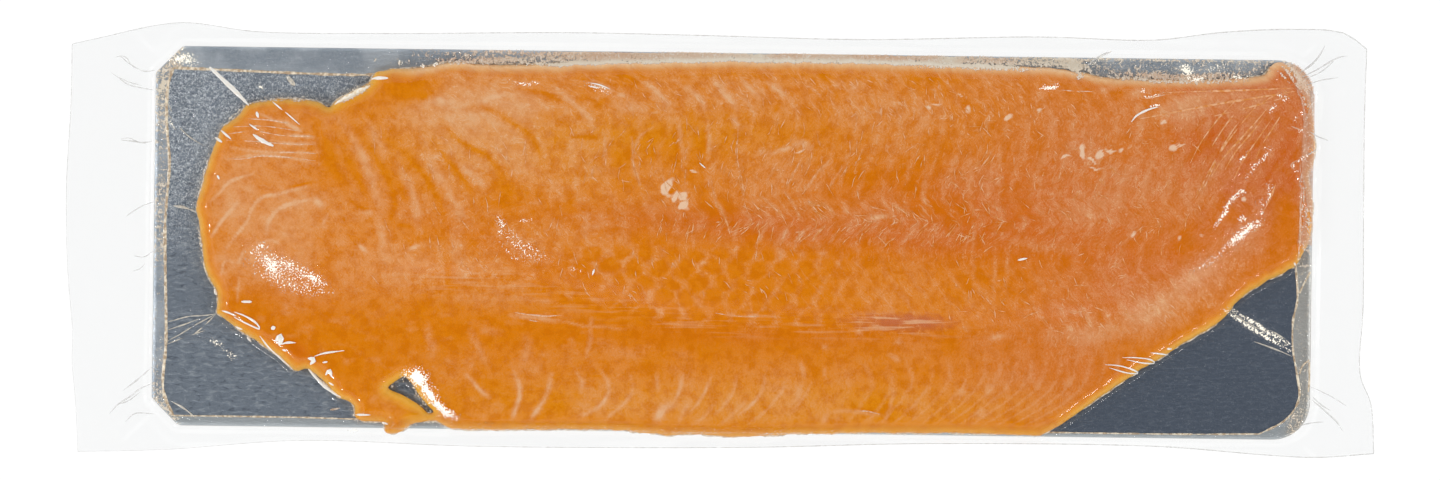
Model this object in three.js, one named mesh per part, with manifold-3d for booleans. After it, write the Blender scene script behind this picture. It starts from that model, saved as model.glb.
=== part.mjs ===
// A vacuum pack of smoked salmon: a flat foil-faced board, one whole side of salmon on it, and the clear
// bag that is drawn tight round both and welded to itself in a wide flat margin.
// Millimetres. +X runs along the board, +Z is up, and the pack lies on its back on z = 0 with the origin
// under the middle of the bag.
import * as THREE from "three";
import { mergeVertices } from "three/addons/utils/BufferGeometryUtils.js";
import Module from "manifold-3d";

// Heights, from the table up.
const FILM = 0.6; // the lower sheet of the bag, and each point of the welded margin
const GAP = 0.3; // between two pieces that lie on each other
const BOARD_THICK = 1.3;
const BOARD_BASE = FILM + GAP;
const SALMON_BASE = BOARD_BASE + BOARD_THICK + GAP;

// The board: two cropped corners at the left, two round ones at the right.
const BOARD = { left: -275, right: 286.5, bottom: -93, top: 91 };
const BOARD_CROP = 13;
const BOARD_RADIUS = 18;

// The flesh: how thick it is along its back and its belly, and at its outer edge.
const LOIN_THICK = 15.5;
const BELLY_THICK = 7;
const LOBE_THICK = 9;
const EDGE_THICK = 2.2;
const EDGE_ROUND = 15; // how far in from the edge the flesh reaches its thickness
const SEGMENT_STEP = 15.5; // from one muscle segment to the next
const SEGMENT_GROOVE = 0.45;
const SEAM_GROOVE = 0.9; // the valley between back and belly
const CELLS_ALONG = 108;
const CELLS_ACROSS = 28;

// The margin of the bag.
const MARGIN_RINGS = 6;
const STATIONS_LONG = 46; // points along a long side and along a short one
const STATIONS_SHORT = 20;
const WELD_HEIGHT = 1.9; // where the two sheets meet, beside the board
const WAVE = 2.4; // the highest wave of a wide margin
const CORNER_CURL = 5;

const clamp01 = (t) => Math.min(1, Math.max(0, t));
const mix = (a, b, t) => a + (b - a) * t;
const smooth = (t) => clamp01(t) ** 2 * (3 - 2 * clamp01(t));
const bump = (x, y, cx, cy, rx, ry) => Math.exp(-(((x - cx) / rx) ** 2) - ((y - cy) / ry) ** 2);

// A smooth curve through points of the plane.
function curveThrough(points) {
  const corners = points.map(([x, y]) => new THREE.Vector3(x, y, 0));
  return new THREE.CatmullRomCurve3(corners, false, "centripetal");
}

// The four sides of the salmon, each from the board's left to its right or from its bottom to its top.
const SALMON_SIDES = {
  top: curveThrough([
    [-230.7, 62.6], [-219, 65], [-208, 65.7], [-196, 64.3], [-190.5, 62.4], [-187.5, 66.3], [-176, 72.3],
    [-168, 79.3], [-157, 81.3], [-142, 82.2], [-138, 84.3], [-105, 83.6], [-44, 86], [8, 87.5], [70, 87.3],
    [117, 86.4], [163, 85], [187, 81.4], [216, 80.8], [250, 81.2], [261.5, 83.8], [267, 88.4], [273, 88],
    [280, 81.8], [284.5, 72],
  ]),
  right: curveThrough([
    [156, -92.2], [167, -85.7], [192.5, -67.5], [222, -48.2], [243, -34.8], [252, -24.5], [264, -16.2],
    [278, -8.6], [281.8, -1.6], [285.3, 6], [286, 24], [284, 33.3], [286.6, 44], [286, 60], [284.5, 72],
  ]),
  bottom: curveThrough([
    [-243.5, -38.3], [-231, -47.2], [-215, -57.3], [-205.5, -65], [-199, -64.6], [-184, -78], [-176.5, -82],
    [-175.5, -88.6], [-162, -90.4], [-161.2, -94.4], [-156, -95], [-148, -90.3], [-137, -89.2],
    [-129, -92.3], [-70, -92], [-42, -92.6], [-26, -94.4], [-9, -93.8], [5.6, -94.6], [44, -92.8],
    [113, -91.5], [156, -92.2],
  ]),
  left: curveThrough([
    [-243.5, -38.3], [-243.8, -28], [-248.2, -20], [-252.5, 4], [-254, 14], [-250.8, 27], [-246.8, 40],
    [-242, 51.5], [-235, 57], [-230.7, 62.6],
  ]),
};

// The tear in the flesh near its lower left edge, through which the board shows.
const TEAR = [
  [-152.4, -67.4], [-157.5, -70.6], [-160.3, -73.4], [-152.8, -77], [-144.8, -81.8], [-140.6, -85.4],
  [-138.2, -84.8], [-141.4, -81.2], [-145.4, -76.4], [-148.4, -71.6], [-150, -68],
];

// The four sides of the bag, in the order left, bottom, right, top, each starting where the last one ends.
const BAG_SIDES = [
  [[-316, 91.5], [-316.3, 62], [-318, 22], [-317, -16], [-314, -50], [-314.2, -62], [-312.2, -82],
    [-310.5, -106.5]],
  [[-310.5, -106.5], [-268, -105], [-204, -99.8], [-116, -101.5], [10, -100.4], [103, -97.3],
    [214, -97.3], [262, -100.5], [289, -101.6], [318, -99.3]],
  [[318, -99.3], [316.3, -75], [311, -61], [312, -28], [311.6, 14], [311.5, 66], [312, 97]],
  [[312, 97], [301, 104.7], [276, 106.4], [241, 104.4], [209, 100.3], [153, 101.1], [67, 98.7],
    [-11, 99.7], [-72, 100.2], [-167, 98.6], [-227, 98.7], [-264, 102.6], [-302, 94.8], [-316, 91.5]],
].map(curveThrough);

// The outline of the board moved out by grow, as the same four sides: each runs from the middle of one
// corner to the middle of the next.
function boardSides(grow) {
  const left = BOARD.left - grow;
  const right = BOARD.right + grow;
  const bottom = BOARD.bottom - grow;
  const top = BOARD.top + grow;
  const crop = BOARD_CROP + grow * (2 - Math.SQRT2);
  const radius = BOARD_RADIUS + grow;
  const lowerLeft = [left + crop / 2, bottom + crop / 2];
  const upperLeft = [left + crop / 2, top - crop / 2];
  const west = new THREE.Path().moveTo(...upperLeft);
  west.lineTo(left, top - crop).lineTo(left, bottom + crop).lineTo(...lowerLeft);
  const south = new THREE.Path().moveTo(...lowerLeft);
  south.lineTo(left + crop, bottom).lineTo(right - radius, bottom);
  south.absarc(right - radius, bottom + radius, radius, -Math.PI / 2, -Math.PI / 4);
  const east = new THREE.Path();
  east.absarc(right - radius, bottom + radius, radius, -Math.PI / 4, 0);
  east.lineTo(right, top - radius);
  east.absarc(right - radius, top - radius, radius, 0, Math.PI / 4);
  const north = new THREE.Path();
  north.absarc(right - radius, top - radius, radius, Math.PI / 4, Math.PI / 2);
  north.lineTo(left + crop, top).lineTo(...upperLeft);
  return [west, south, east, north];
}

// A closed mesh from its vertices and triangles.
function solidGeometry(vertices, triangles) {
  const geometry = new THREE.BufferGeometry();
  geometry.setAttribute("position", new THREE.BufferAttribute(new Float32Array(vertices.flat()), 3));
  geometry.setIndex(triangles.flat());
  return geometry;
}

// The board is one flat sheet with its outline punched out.
function boardGeometry() {
  const outline = boardSides(0).flatMap((side) => side.getPoints(5).slice(0, -1));
  const sheet = new THREE.ExtrudeGeometry(new THREE.Shape(outline), {
    depth: BOARD_THICK,
    bevelEnabled: false,
  });
  return sheet.translate(0, 0, BOARD_BASE);
}

// Height of the middle of the margin at a share t of the way out, for a margin that is wide there.
function marginHeight(x, y, t, width) {
  const room = smooth(width / 34);
  const waves = 0.5 + 0.3 * Math.sin(x / 23 + y / 17) + 0.2 * Math.sin(x / 9.5 - y / 13 + 1.3);
  const corner = smooth((Math.abs(x) - 265) / 60) * smooth((Math.abs(y) - 62) / 50);
  const droop = (1 - t) ** 1.6;
  const lift = mix(0.45, 1, room) * WAVE * waves * Math.sin(Math.PI * Math.min(t, 0.8)) ** 1.2;
  return mix(FILM / 2 + 0.1, WELD_HEIGHT, droop) + lift + CORNER_CURL * corner * t ** 1.5;
}

// The lower sheet under the board, and the welded margin that leaves it beside the board's edge: rings of
// stations from the board's outline out to the bag's, the same for the upper and the lower face.
function bagGeometry() {
  const perSide = [STATIONS_SHORT, STATIONS_LONG, STATIONS_SHORT, STATIONS_LONG];
  const stationsOf = (sides) => sides.flatMap((side, i) => side.getSpacedPoints(perSide[i]).slice(0, -1));
  const foot = stationsOf(boardSides(1.4));
  const weld = stationsOf(boardSides(3.4));
  const rim = stationsOf(BAG_SIDES);
  const count = foot.length;
  const middle = [(BOARD.left + BOARD.right) / 2, (BOARD.bottom + BOARD.top) / 2];
  const faces = [[], []]; // vertices of the lower and of the upper face
  faces.forEach((face, upper) => {
    face.push([...middle, upper * FILM]);
    for (const p of foot) face.push([p.x, p.y, upper * FILM]);
    for (let ring = 0; ring <= MARGIN_RINGS; ring++) {
      const t = ring / MARGIN_RINGS;
      for (let i = 0; i < count; i++) {
        const x = mix(weld[i].x, rim[i].x, t);
        const y = mix(weld[i].y, rim[i].y, t);
        const width = Math.hypot(rim[i].x - weld[i].x, rim[i].y - weld[i].y);
        face.push([x, y, marginHeight(x, y, t, width) + (upper - 0.5) * FILM]);
      }
    }
  });
  const perFace = faces[0].length;
  const triangles = [];
  const both = (a, b, c) => {
    triangles.push([a, c, b]);
    triangles.push([perFace + a, perFace + b, perFace + c]);
  };
  const at = (ring, i) => 1 + ring * count + (i % count);
  for (let i = 0; i < count; i++) {
    both(0, at(0, i), at(0, i + 1));
    for (let ring = 0; ring <= MARGIN_RINGS; ring++) {
      both(at(ring, i), at(ring + 1, i), at(ring + 1, i + 1));
      both(at(ring, i), at(ring + 1, i + 1), at(ring, i + 1));
    }
    const a = at(MARGIN_RINGS + 1, i);
    const b = at(MARGIN_RINGS + 1, i + 1);
    triangles.push([a, b, perFace + b], [a, perFace + b, perFace + a]);
  }
  return solidGeometry([...faces[0], ...faces[1]], triangles);
}

// The point at shares u and v between the four sides of the salmon (a Coons patch).
function salmonPoint(u, v) {
  const bottom = SALMON_SIDES.bottom.getPointAt(u);
  const top = SALMON_SIDES.top.getPointAt(u);
  const left = SALMON_SIDES.left.getPointAt(v);
  const right = SALMON_SIDES.right.getPointAt(v);
  const [c00, c10] = [SALMON_SIDES.bottom.getPointAt(0), SALMON_SIDES.bottom.getPointAt(1)];
  const [c01, c11] = [SALMON_SIDES.top.getPointAt(0), SALMON_SIDES.top.getPointAt(1)];
  const blend = (axis) =>
    mix(bottom[axis], top[axis], v) + mix(left[axis], right[axis], u) -
    mix(mix(c00[axis], c10[axis], u), mix(c01[axis], c11[axis], u), v);
  return [blend("x"), blend("y")];
}

// Thickness of the flesh: thick along the back, thin along the belly and in the left lobe, round at its
// edges, with a valley between back and belly and a groove at each muscle segment.
function salmonThickness(u, v, x, y) {
  const round = (distance, radius) => Math.sqrt(1 - (1 - clamp01(distance / radius)) ** 2);
  const edges =
    round(v * 176, EDGE_ROUND * 0.8) * round((1 - v) * 176, EDGE_ROUND) *
    round(u * 530, EDGE_ROUND * 0.7) * round((1 - u) * 560, EDGE_ROUND * 0.8);
  const back = mix(BELLY_THICK, LOIN_THICK, smooth((y + 62) / 80));
  const alongBack = mix(LOBE_THICK, back, smooth((x + 250) / 130));
  const full = mix(alongBack, 0.78 * back, smooth((x - 150) / 130));
  const swell = 1.2 * bump(x, y, -60, 20, 90, 40) - 1.1 * bump(x, y, 190, 60, 60, 30);
  const seamY = -18 - 26 * smooth((x + 130) / 160);
  const seam = SEAM_GROOVE * smooth((x + 190) / 60) * bump(0, y, 0, seamY, 1, 7);
  const bend = y > seamY ? 0.35 * Math.abs(y - 12) : 0.5 * (seamY - y);
  const phase = (2 * Math.PI * (x + bend)) / SEGMENT_STEP;
  const groove = SEGMENT_GROOVE * (0.5 + 0.5 * Math.cos(phase)) ** 3;
  return EDGE_THICK + (full + swell - EDGE_THICK - seam - groove) * edges;
}

// The whole side of salmon: its face is a grid between the four sides, closer near the edge, its underside
// is flat, and the tear is cut right through.
async function salmonGeometry() {
  const closer = (k, cells) => mix(k / cells, 0.5 - 0.5 * Math.cos((Math.PI * k) / cells), 0.4);
  const across = CELLS_ACROSS + 1;
  const at = (i, j) => i * across + j;
  const face = [];
  for (let i = 0; i <= CELLS_ALONG; i++) {
    const u = closer(i, CELLS_ALONG);
    for (let j = 0; j <= CELLS_ACROSS; j++) {
      const v = closer(j, CELLS_ACROSS);
      const [x, y] = salmonPoint(u, v);
      face.push([x, y, SALMON_BASE + salmonThickness(u, v, x, y)]);
    }
  }
  const triangles = [];
  for (let i = 0; i < CELLS_ALONG; i++) {
    for (let j = 0; j < CELLS_ACROSS; j++) {
      triangles.push([at(i, j), at(i + 1, j), at(i + 1, j + 1)]);
      triangles.push([at(i, j), at(i + 1, j + 1), at(i, j + 1)]);
    }
  }
  const edge = [];
  for (let i = 0; i < CELLS_ALONG; i++) edge.push(at(i, 0));
  for (let j = 0; j < CELLS_ACROSS; j++) edge.push(at(CELLS_ALONG, j));
  for (let i = CELLS_ALONG; i > 0; i--) edge.push(at(i, CELLS_ACROSS));
  for (let j = CELLS_ACROSS; j > 0; j--) edge.push(at(0, j));
  const under = edge.map((k) => [face[k][0], face[k][1], SALMON_BASE]);
  const flat = under.map(([x, y]) => new THREE.Vector2(x, y));
  const first = face.length;
  for (const [a, b, c] of THREE.ShapeUtils.triangulateShape(flat, [])) {
    triangles.push([first + a, first + c, first + b]);
  }
  edge.forEach((k, n) => {
    const next = (n + 1) % edge.length;
    triangles.push([first + n, first + next, edge[next]], [first + n, edge[next], k]);
  });
  return cutTear(solidGeometry([...face, ...under], triangles));
}

// A closed geometry as a solid that can be cut.
function solidOf(wasm, geometry) {
  const bare = geometry.clone();
  bare.deleteAttribute("normal");
  bare.deleteAttribute("uv");
  const merged = mergeVertices(bare, 1e-4);
  return new wasm.Manifold(
    new wasm.Mesh({
      numProp: 3,
      vertProperties: merged.attributes.position.array,
      triVerts: new Uint32Array(merged.index.array),
    }),
  );
}

async function cutTear(flesh) {
  const wasm = await Module();
  wasm.setup();
  const outline = new THREE.Shape(TEAR.map(([x, y]) => new THREE.Vector2(x, y)));
  const plug = new THREE.ExtrudeGeometry(outline, { depth: 3 * LOIN_THICK, bevelEnabled: false });
  plug.translate(0, 0, SALMON_BASE - LOIN_THICK);
  const cut = solidOf(wasm, flesh).subtract(solidOf(wasm, plug)).getMesh();
  const geometry = new THREE.BufferGeometry();
  geometry.setAttribute("position", new THREE.BufferAttribute(cut.vertProperties, 3));
  geometry.setIndex(new THREE.BufferAttribute(cut.triVerts, 1));
  return geometry;
}

// One piece of the pack, in its own material.
function piece(name, geometry, color, roughness, metalness) {
  const finished = geometry.index ? geometry.toNonIndexed() : geometry;
  finished.computeVertexNormals();
  const mesh = new THREE.Mesh(finished, new THREE.MeshStandardMaterial({ color, roughness, metalness }));
  mesh.name = name;
  return mesh;
}

const bag = piece("bag", bagGeometry(), 0xf2f4f4, 0.12, 0);
bag.material.transparent = true;
bag.material.opacity = 0.35;
const board = piece("board", boardGeometry(), 0x6c7884, 0.3, 0.8);
const salmon = piece("salmon", await salmonGeometry(), 0xd98139, 0.35, 0);

// The bag's outline isn't quite even, so the whole is moved to stand its box over the origin.
const box = new THREE.Box3().setFromObject(bag);
const pack = new THREE.Group();
pack.add(bag, board, salmon);
pack.position.set(-(box.min.x + box.max.x) / 2, -(box.min.y + box.max.y) / 2, -box.min.z);

export default pack;
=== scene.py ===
import math

import bpy
import numpy as np
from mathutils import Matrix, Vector, kdtree


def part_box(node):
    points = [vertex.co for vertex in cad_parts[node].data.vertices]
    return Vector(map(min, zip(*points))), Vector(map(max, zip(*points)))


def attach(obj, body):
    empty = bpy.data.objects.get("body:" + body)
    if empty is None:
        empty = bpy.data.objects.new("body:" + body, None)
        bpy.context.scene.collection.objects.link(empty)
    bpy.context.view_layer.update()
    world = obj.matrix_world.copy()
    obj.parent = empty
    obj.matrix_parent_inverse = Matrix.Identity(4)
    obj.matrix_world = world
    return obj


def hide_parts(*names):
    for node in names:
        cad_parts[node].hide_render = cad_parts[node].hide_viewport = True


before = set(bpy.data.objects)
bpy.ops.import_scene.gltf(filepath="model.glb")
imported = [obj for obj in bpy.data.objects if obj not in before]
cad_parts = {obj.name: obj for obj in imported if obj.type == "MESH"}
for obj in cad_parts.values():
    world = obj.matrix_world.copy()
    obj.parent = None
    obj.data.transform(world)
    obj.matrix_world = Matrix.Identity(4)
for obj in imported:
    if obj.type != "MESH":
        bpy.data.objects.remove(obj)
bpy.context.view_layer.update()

MM = 0.001  # every size below is in millimetres, and every mesh in metres


# ---- The board -------------------------------------------------------------------------------------
# One sheet of stiff card, faced with silvery foil on its upper side and punched out with two cropped
# corners at the left and two round ones at the right. It stays flat under the fish.

BOARD_CROP = 13
BOARD_RADIUS = 18
BOARD_CUT = 0.35  # how far the punch rolls the edge over
BOARD_FOOT = 0.1  # height of the chamfer round the underside
BOARD_CELLS = (220, 72)
LIFT_STEPS = (300, 100)
SPAN_STEPS = 24  # points that a curve is first drawn with, between two given ones
ARC_POINTS = 13
ARC_MIDDLE = 6


def smooth(t):
    """From 0 to 1 with soft ends, as t goes from 0 to 1."""
    t = np.clip(t, 0, 1)
    return t * t * (3 - 2 * t)


def mix(a, b, t):
    return a + (b - a) * t


def curve_through(points, count):
    """count + 1 evenly spaced points of the smooth curve through the given ones (centripetal)."""
    p = np.array(points, float)
    p = np.vstack([2 * p[0] - p[1], p, 2 * p[-1] - p[-2]])
    samples = []
    for a, b, c, d in zip(p[:-3], p[1:-2], p[2:-1], p[3:]):
        t1, t2, t3 = np.cumsum([math.sqrt(np.linalg.norm(q - r)) for q, r in ((b, a), (c, b), (d, c))])
        t = np.linspace(t1, t2, SPAN_STEPS, endpoint=False)[:, None]
        ab = (t1 - t) / t1 * a + t / t1 * b
        bc = (t2 - t) / (t2 - t1) * b + (t - t1) / (t2 - t1) * c
        cd = (t3 - t) / (t3 - t2) * c + (t - t2) / (t3 - t2) * d
        abc = (t2 - t) / t2 * ab + t / t2 * bc
        bcd = (t3 - t) / (t3 - t1) * bc + (t - t1) / (t3 - t1) * cd
        samples.append((t2 - t) / (t2 - t1) * abc + (t - t1) / (t2 - t1) * bcd)
    return evenly(np.vstack(samples + [p[-2:-1]]), count)


def evenly(line, count):
    """The polyline again, as count + 1 points at even spacing."""
    line = np.array(line, float)
    run = np.concatenate([[0], np.cumsum(np.hypot(*np.diff(line, axis=0).T))])
    at = np.linspace(0, run[-1], count + 1)
    return np.column_stack([np.interp(at, run, line[:, 0]), np.interp(at, run, line[:, 1])])


def arc(cx, cy, radius, start, end):
    """Points of an arc, its angles in degrees."""
    turn = np.radians(np.linspace(start, end, ARC_POINTS))
    return np.column_stack([cx + radius * np.cos(turn), cy + radius * np.sin(turn)])


def four_sides(sides, steps, drawing=curve_through):
    """A bottom, top, left and right line drawn again with that many steps along and across."""
    along, across = steps
    return [drawing(side, count) for side, count in zip(sides, (along, along, across, across))]


def patch(bottom, top, left, right):
    """The grid of points between four sides that meet at their ends (a Coons patch)."""
    u = np.linspace(0, 1, len(bottom))[:, None, None]
    v = np.linspace(0, 1, len(left))[None, :, None]
    across = mix(bottom[:, None], top[:, None], v)
    along = mix(left[None], right[None], u)
    corners = mix(mix(bottom[0], bottom[-1], u), mix(top[0], top[-1], u), v)
    return across + along - corners


def mesh_piece(name, corners, faces):
    """An object from corners in millimetres."""
    mesh = bpy.data.meshes.new(name)
    mesh.from_pydata((np.asarray(corners) * MM).tolist(), [], faces)
    mesh.validate()
    mesh.shade_smooth()
    piece = bpy.data.objects.new(name, mesh)
    bpy.context.collection.objects.link(piece)
    return piece


def grid_faces(columns, rows):
    """The four-sided faces of a grid of columns x rows points, facing up."""
    k = np.arange(columns * rows).reshape(columns, rows)
    return np.stack([k[:-1, :-1], k[1:, :-1], k[1:, 1:], k[:-1, 1:]], -1).reshape(-1, 4).tolist()


def rim_of(columns, rows):
    """The corners round the edge of such a grid, anticlockwise."""
    k = np.arange(columns * rows).reshape(columns, rows)
    return np.concatenate([k[:-1, 0], k[-1, :-1], k[:0:-1, -1], k[0, :0:-1]])


def right_of(steps):
    """Unit vectors to the right of the steps of a line."""
    return np.column_stack([steps[:, 1], -steps[:, 0]]) / np.maximum(np.hypot(*steps.T), 1e-9)[:, None]


def outward(ring):
    """Unit vectors out of a closed line that runs anticlockwise."""
    return right_of(np.roll(ring, -1, 0) - np.roll(ring, 1, 0))


def slab(name, grid, height, steps):
    """A closed piece: a grid's upper face at the given heights, and below its rim one ring for each
    (inset, z) of steps, closed by a flat underside."""
    flat = grid.reshape(-1, 2)
    corners = np.column_stack([flat, height])
    faces = grid_faces(*grid.shape[:2])
    last = rim_of(*grid.shape[:2])
    line = flat[last]
    for inset, z in steps:
        ring = np.arange(len(corners), len(corners) + len(line))
        corners = np.vstack([corners, np.column_stack([line - outward(line) * inset, np.full(len(line), z)])])
        faces += np.column_stack([ring, np.roll(ring, -1), np.roll(last, -1), last]).tolist()
        last = ring
    faces.append(last[::-1].tolist())
    return mesh_piece(name, corners, faces)


def tree_of(points):
    """The points of a plan, ready to be found by their place."""
    tree = kdtree.KDTree(len(points))
    for i, (x, y) in enumerate(points):
        tree.insert((x, y, 0), i)
    tree.balance()
    return tree


def nearest_in(tree, points):
    """For each point, the number of the nearest one in a tree, and how far off that is."""
    found = [tree.find((x, y, 0))[1:] for x, y in points]
    return np.array([number for number, _ in found]), np.array([distance for _, distance in found])


def signed_distance(points, outline):
    """How far each point lies outside (above 0) or inside a closed outline that runs anticlockwise."""
    line = evenly(np.vstack([outline, outline[:1]]), 4 * len(outline))[:-1]
    nearest, distance = nearest_in(tree_of(line), points)
    side = ((points - line[nearest]) * outward(line)[nearest]).sum(1)
    return np.where(side > 0, distance, -distance)


def corners_of(piece):
    """The corners of a piece, in millimetres."""
    at = np.zeros(3 * len(piece.data.vertices), np.float32)
    piece.data.vertices.foreach_get("co", at)
    return at.reshape(-1, 3) / MM


def store(piece, field, values):
    """Stores a number or a triple at each corner of a piece."""
    kind, key = ("FLOAT", "value") if np.ndim(values) == 1 else ("FLOAT_VECTOR", "vector")
    layer = piece.data.attributes.new(field, kind, "POINT")
    layer.data.foreach_set(key, np.asarray(values, np.float32).ravel())


class Wire:
    """A shader socket that is reckoned with like a number."""

    def __init__(self, finish, socket):
        self.finish = finish
        self.socket = socket

    def math(self, operation, *values, clamp=False):
        settings = {"operation": operation, "use_clamp": clamp}
        return self.finish.node("Math", settings, dict(enumerate(values)))

    def __add__(self, other):
        return self.math("ADD", self, other)

    def __sub__(self, other):
        return self.math("SUBTRACT", self, other)

    def __rsub__(self, other):
        return self.math("SUBTRACT", other, self)

    def __mul__(self, other):
        return self.math("MULTIPLY", self, other)

    def __truediv__(self, other):
        return self.math("DIVIDE", self, other)

    def __rtruediv__(self, other):
        return self.math("DIVIDE", other, self)

    def __pow__(self, other):
        return self.math("POWER", self, other)

    def __rpow__(self, other):
        return self.math("POWER", other, self)

    def __abs__(self):
        return self.math("ABSOLUTE", self)

    __radd__ = __add__
    __rmul__ = __mul__

    def fract(self):
        return self.math("FRACT", self)

    def least(self, other):
        return self.math("MINIMUM", self, other)

    def most(self, other):
        return self.math("MAXIMUM", self, other)

    def clamped(self):
        return self.math("ADD", self, 0.0, clamp=True)

    def rise(self, low, high):
        """0 below low and 1 above high, with soft ends; low may be the larger."""
        sockets = {"Value": self, "From Min": low, "From Max": high}
        return self.finish.node("MapRange", {"interpolation_type": "SMOOTHSTEP"}, sockets)

    def parts(self):
        """The three numbers of a vector."""
        return self.finish.node("SeparateXYZ", None, {"Vector": self}, ("X", "Y", "Z"))


class Finish:
    """The look of a surface, or the light of the room, written as expressions."""

    def __init__(self, name, kind=bpy.data.materials):
        self.owner = kind.new(name)
        self.owner.use_nodes = True
        self.tree = self.owner.node_tree
        self.tree.nodes.clear()

    def node(self, kind, settings=None, sockets=None, out=0):
        """Adds a node: its settings first, then the values or links of its sockets. Gives the wire from
        one of its outputs, or those from several."""
        node = self.tree.nodes.new("ShaderNode" + kind)
        for key, value in (settings or {}).items():
            setattr(node, key, value)
        for key, value in (sockets or {}).items():
            socket = node.inputs[key]
            if isinstance(value, Wire):
                self.tree.links.new(value.socket, socket)
            else:
                socket.default_value = (*value, 1) if socket.type == "RGBA" else value
        if isinstance(out, tuple):
            return [Wire(self, node.outputs[name]) for name in out]
        return Wire(self, node.outputs[out])

    def place(self):
        """Where a point of the piece is, in millimetres."""
        at = self.node("TexCoord", out="Object")
        return self.node("VectorMath", {"operation": "SCALE"}, {0: at, "Scale": 1 / MM})

    def field(self, name):
        """A number stored at the corners of the piece."""
        return self.node("Attribute", {"attribute_name": name}, out="Fac")

    def fields(self, name):
        """Three numbers stored at the corners of the piece."""
        return self.node("Attribute", {"attribute_name": name}, out="Vector").parts()

    def vector(self, x, y):
        return self.node("CombineXYZ", None, {"X": x, "Y": y})

    def stretched(self, at, x, y):
        return self.node("VectorMath", {"operation": "MULTIPLY"}, {0: at, 1: (x, y, 1.0)})

    def noise(self, at, size, detail=2.0, rough=0.5, warp=0.0):
        """Soft noise from 0 to 1 over the plan of the piece, with lumps of about that size."""
        sockets = {"Vector": at, "Scale": 1 / size, "Detail": detail, "Roughness": rough, "Distortion": warp}
        return self.node("TexNoise", {"noise_dimensions": "2D"}, sockets)

    def web(self, at, size):
        """A web of branching threads over the plan of the piece: high along each thread."""
        settings = {"noise_dimensions": "2D", "noise_type": "RIDGED_MULTIFRACTAL", "normalize": False}
        sockets = {"Vector": at, "Scale": 1 / size, "Detail": 1, "Roughness": 0.6, "Distortion": 0.8}
        return self.node("TexNoise", settings, sockets)

    def tint(self, a, b, share):
        """Colour a turned into colour b by a share. The node's colours are its sockets 6, 7 and 2."""
        return self.node("Mix", {"data_type": "RGBA"}, {0: share, 6: a, 7: b}, 2)

    def bump(self, height, depth):
        """The normal over a relief of that depth in millimetres."""
        return self.node("Bump", None, {"Height": height, "Distance": depth * MM, "Strength": 1.0})

    def show(self, shader):
        """Makes shader what the material shows."""
        self.node("OutputMaterial", None, {"Surface": shader}, ())
        return self.owner

    def skin(self, sockets):
        """Makes the material show one plain surface with these sockets."""
        return self.show(self.node("BsdfPrincipled", None, sockets))


def srgb(red, green, blue):
    """A colour given as on a screen, 0 to 255, as linear light."""
    shares = (red / 255, green / 255, blue / 255)
    return tuple(c / 12.92 if c <= 0.04045 else ((c + 0.055) / 1.055) ** 2.4 for c in shares)


board_low, board_high = (np.array(corner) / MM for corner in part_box("board"))
(board_left, board_front, board_base), (board_right, board_back, board_top) = board_low, board_high


def board_sides(grow):
    """The board's outline moved out by grow, as its bottom, top, left and right side: each runs from the
    middle of one corner to the middle of the next."""
    left, right = board_left - grow, board_right + grow
    front, back = board_front - grow, board_back + grow
    crop = BOARD_CROP + grow * (2 - math.sqrt(2))
    radius = BOARD_RADIUS + grow
    lower_left = [left + crop / 2, front + crop / 2]
    upper_left = [left + crop / 2, back - crop / 2]
    lower = arc(right - radius, front + radius, radius, -90, 0)
    upper = arc(right - radius, back - radius, radius, 0, 90)
    bottom = np.vstack([lower_left, [left + crop, front], lower[: ARC_MIDDLE + 1]])
    top = np.vstack([upper_left, [left + crop, back], upper[: ARC_MIDDLE - 1 : -1]])
    west = np.vstack([lower_left, [left, front + crop], [left, back - crop], upper_left])
    east = np.vstack([lower[ARC_MIDDLE:], upper[: ARC_MIDDLE + 1]])
    return bottom, top, west, east


def closed(bottom, top, left, right):
    """Four sides as one outline, anticlockwise."""
    return np.vstack([bottom[:-1], right[:-1], top[:0:-1], left[:0:-1]])


board_grid = patch(*four_sides(board_sides(-BOARD_CUT), BOARD_CELLS, evenly))
board = slab(
    "foil_board",
    board_grid,
    np.full(board_grid.size // 2, board_top),
    [(-BOARD_CUT, board_top - BOARD_CUT), (-BOARD_CUT, board_base + BOARD_FOOT), (0, board_base)],
)

# Where the upper film leaves the board: inside this line it clings to the foil, outside it hangs free.
LIFT_SIDES = [
    [[-264.6, -88.2], [-203, -88.3], [-179, -88.7], [-96, -89.2], [215, -90.9], [262, -90.3]],
    [[-266.6, 80.3], [-166, 78.6], [-158, 80.6], [-142, 82.8], [-137, 84.4], [-105, 84.2], [-44, 86.8],
     [70, 88], [117, 87], [163, 85.4], [187, 82], [217, 81.6], [240, 82], [256, 83.1], [262, 84.8],
     [265, 88.6], [269.5, 90.3], [275, 87.6]],
    [[-264.6, -88.2], [-269.4, -76], [-268.4, -52], [-269.6, 4], [-269, 16], [-267.9, 31], [-268, 38],
     [-269.4, 53], [-269, 72], [-266.6, 80.3]],
    [[262, -90.3], [273.8, -84], [279.4, -77.5], [281.4, -71], [280.4, -63], [277.9, -49], [277.8, -35],
     [279.8, -25], [278.6, -6], [278.8, 4], [281, 16], [280, 40], [280.5, 66], [275, 87.6]],
]
lift_sides = four_sides(LIFT_SIDES, LIFT_STEPS)
lift_outline = closed(*lift_sides)
store(board, "lift", signed_distance(corners_of(board)[:, :2], lift_outline))

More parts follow.
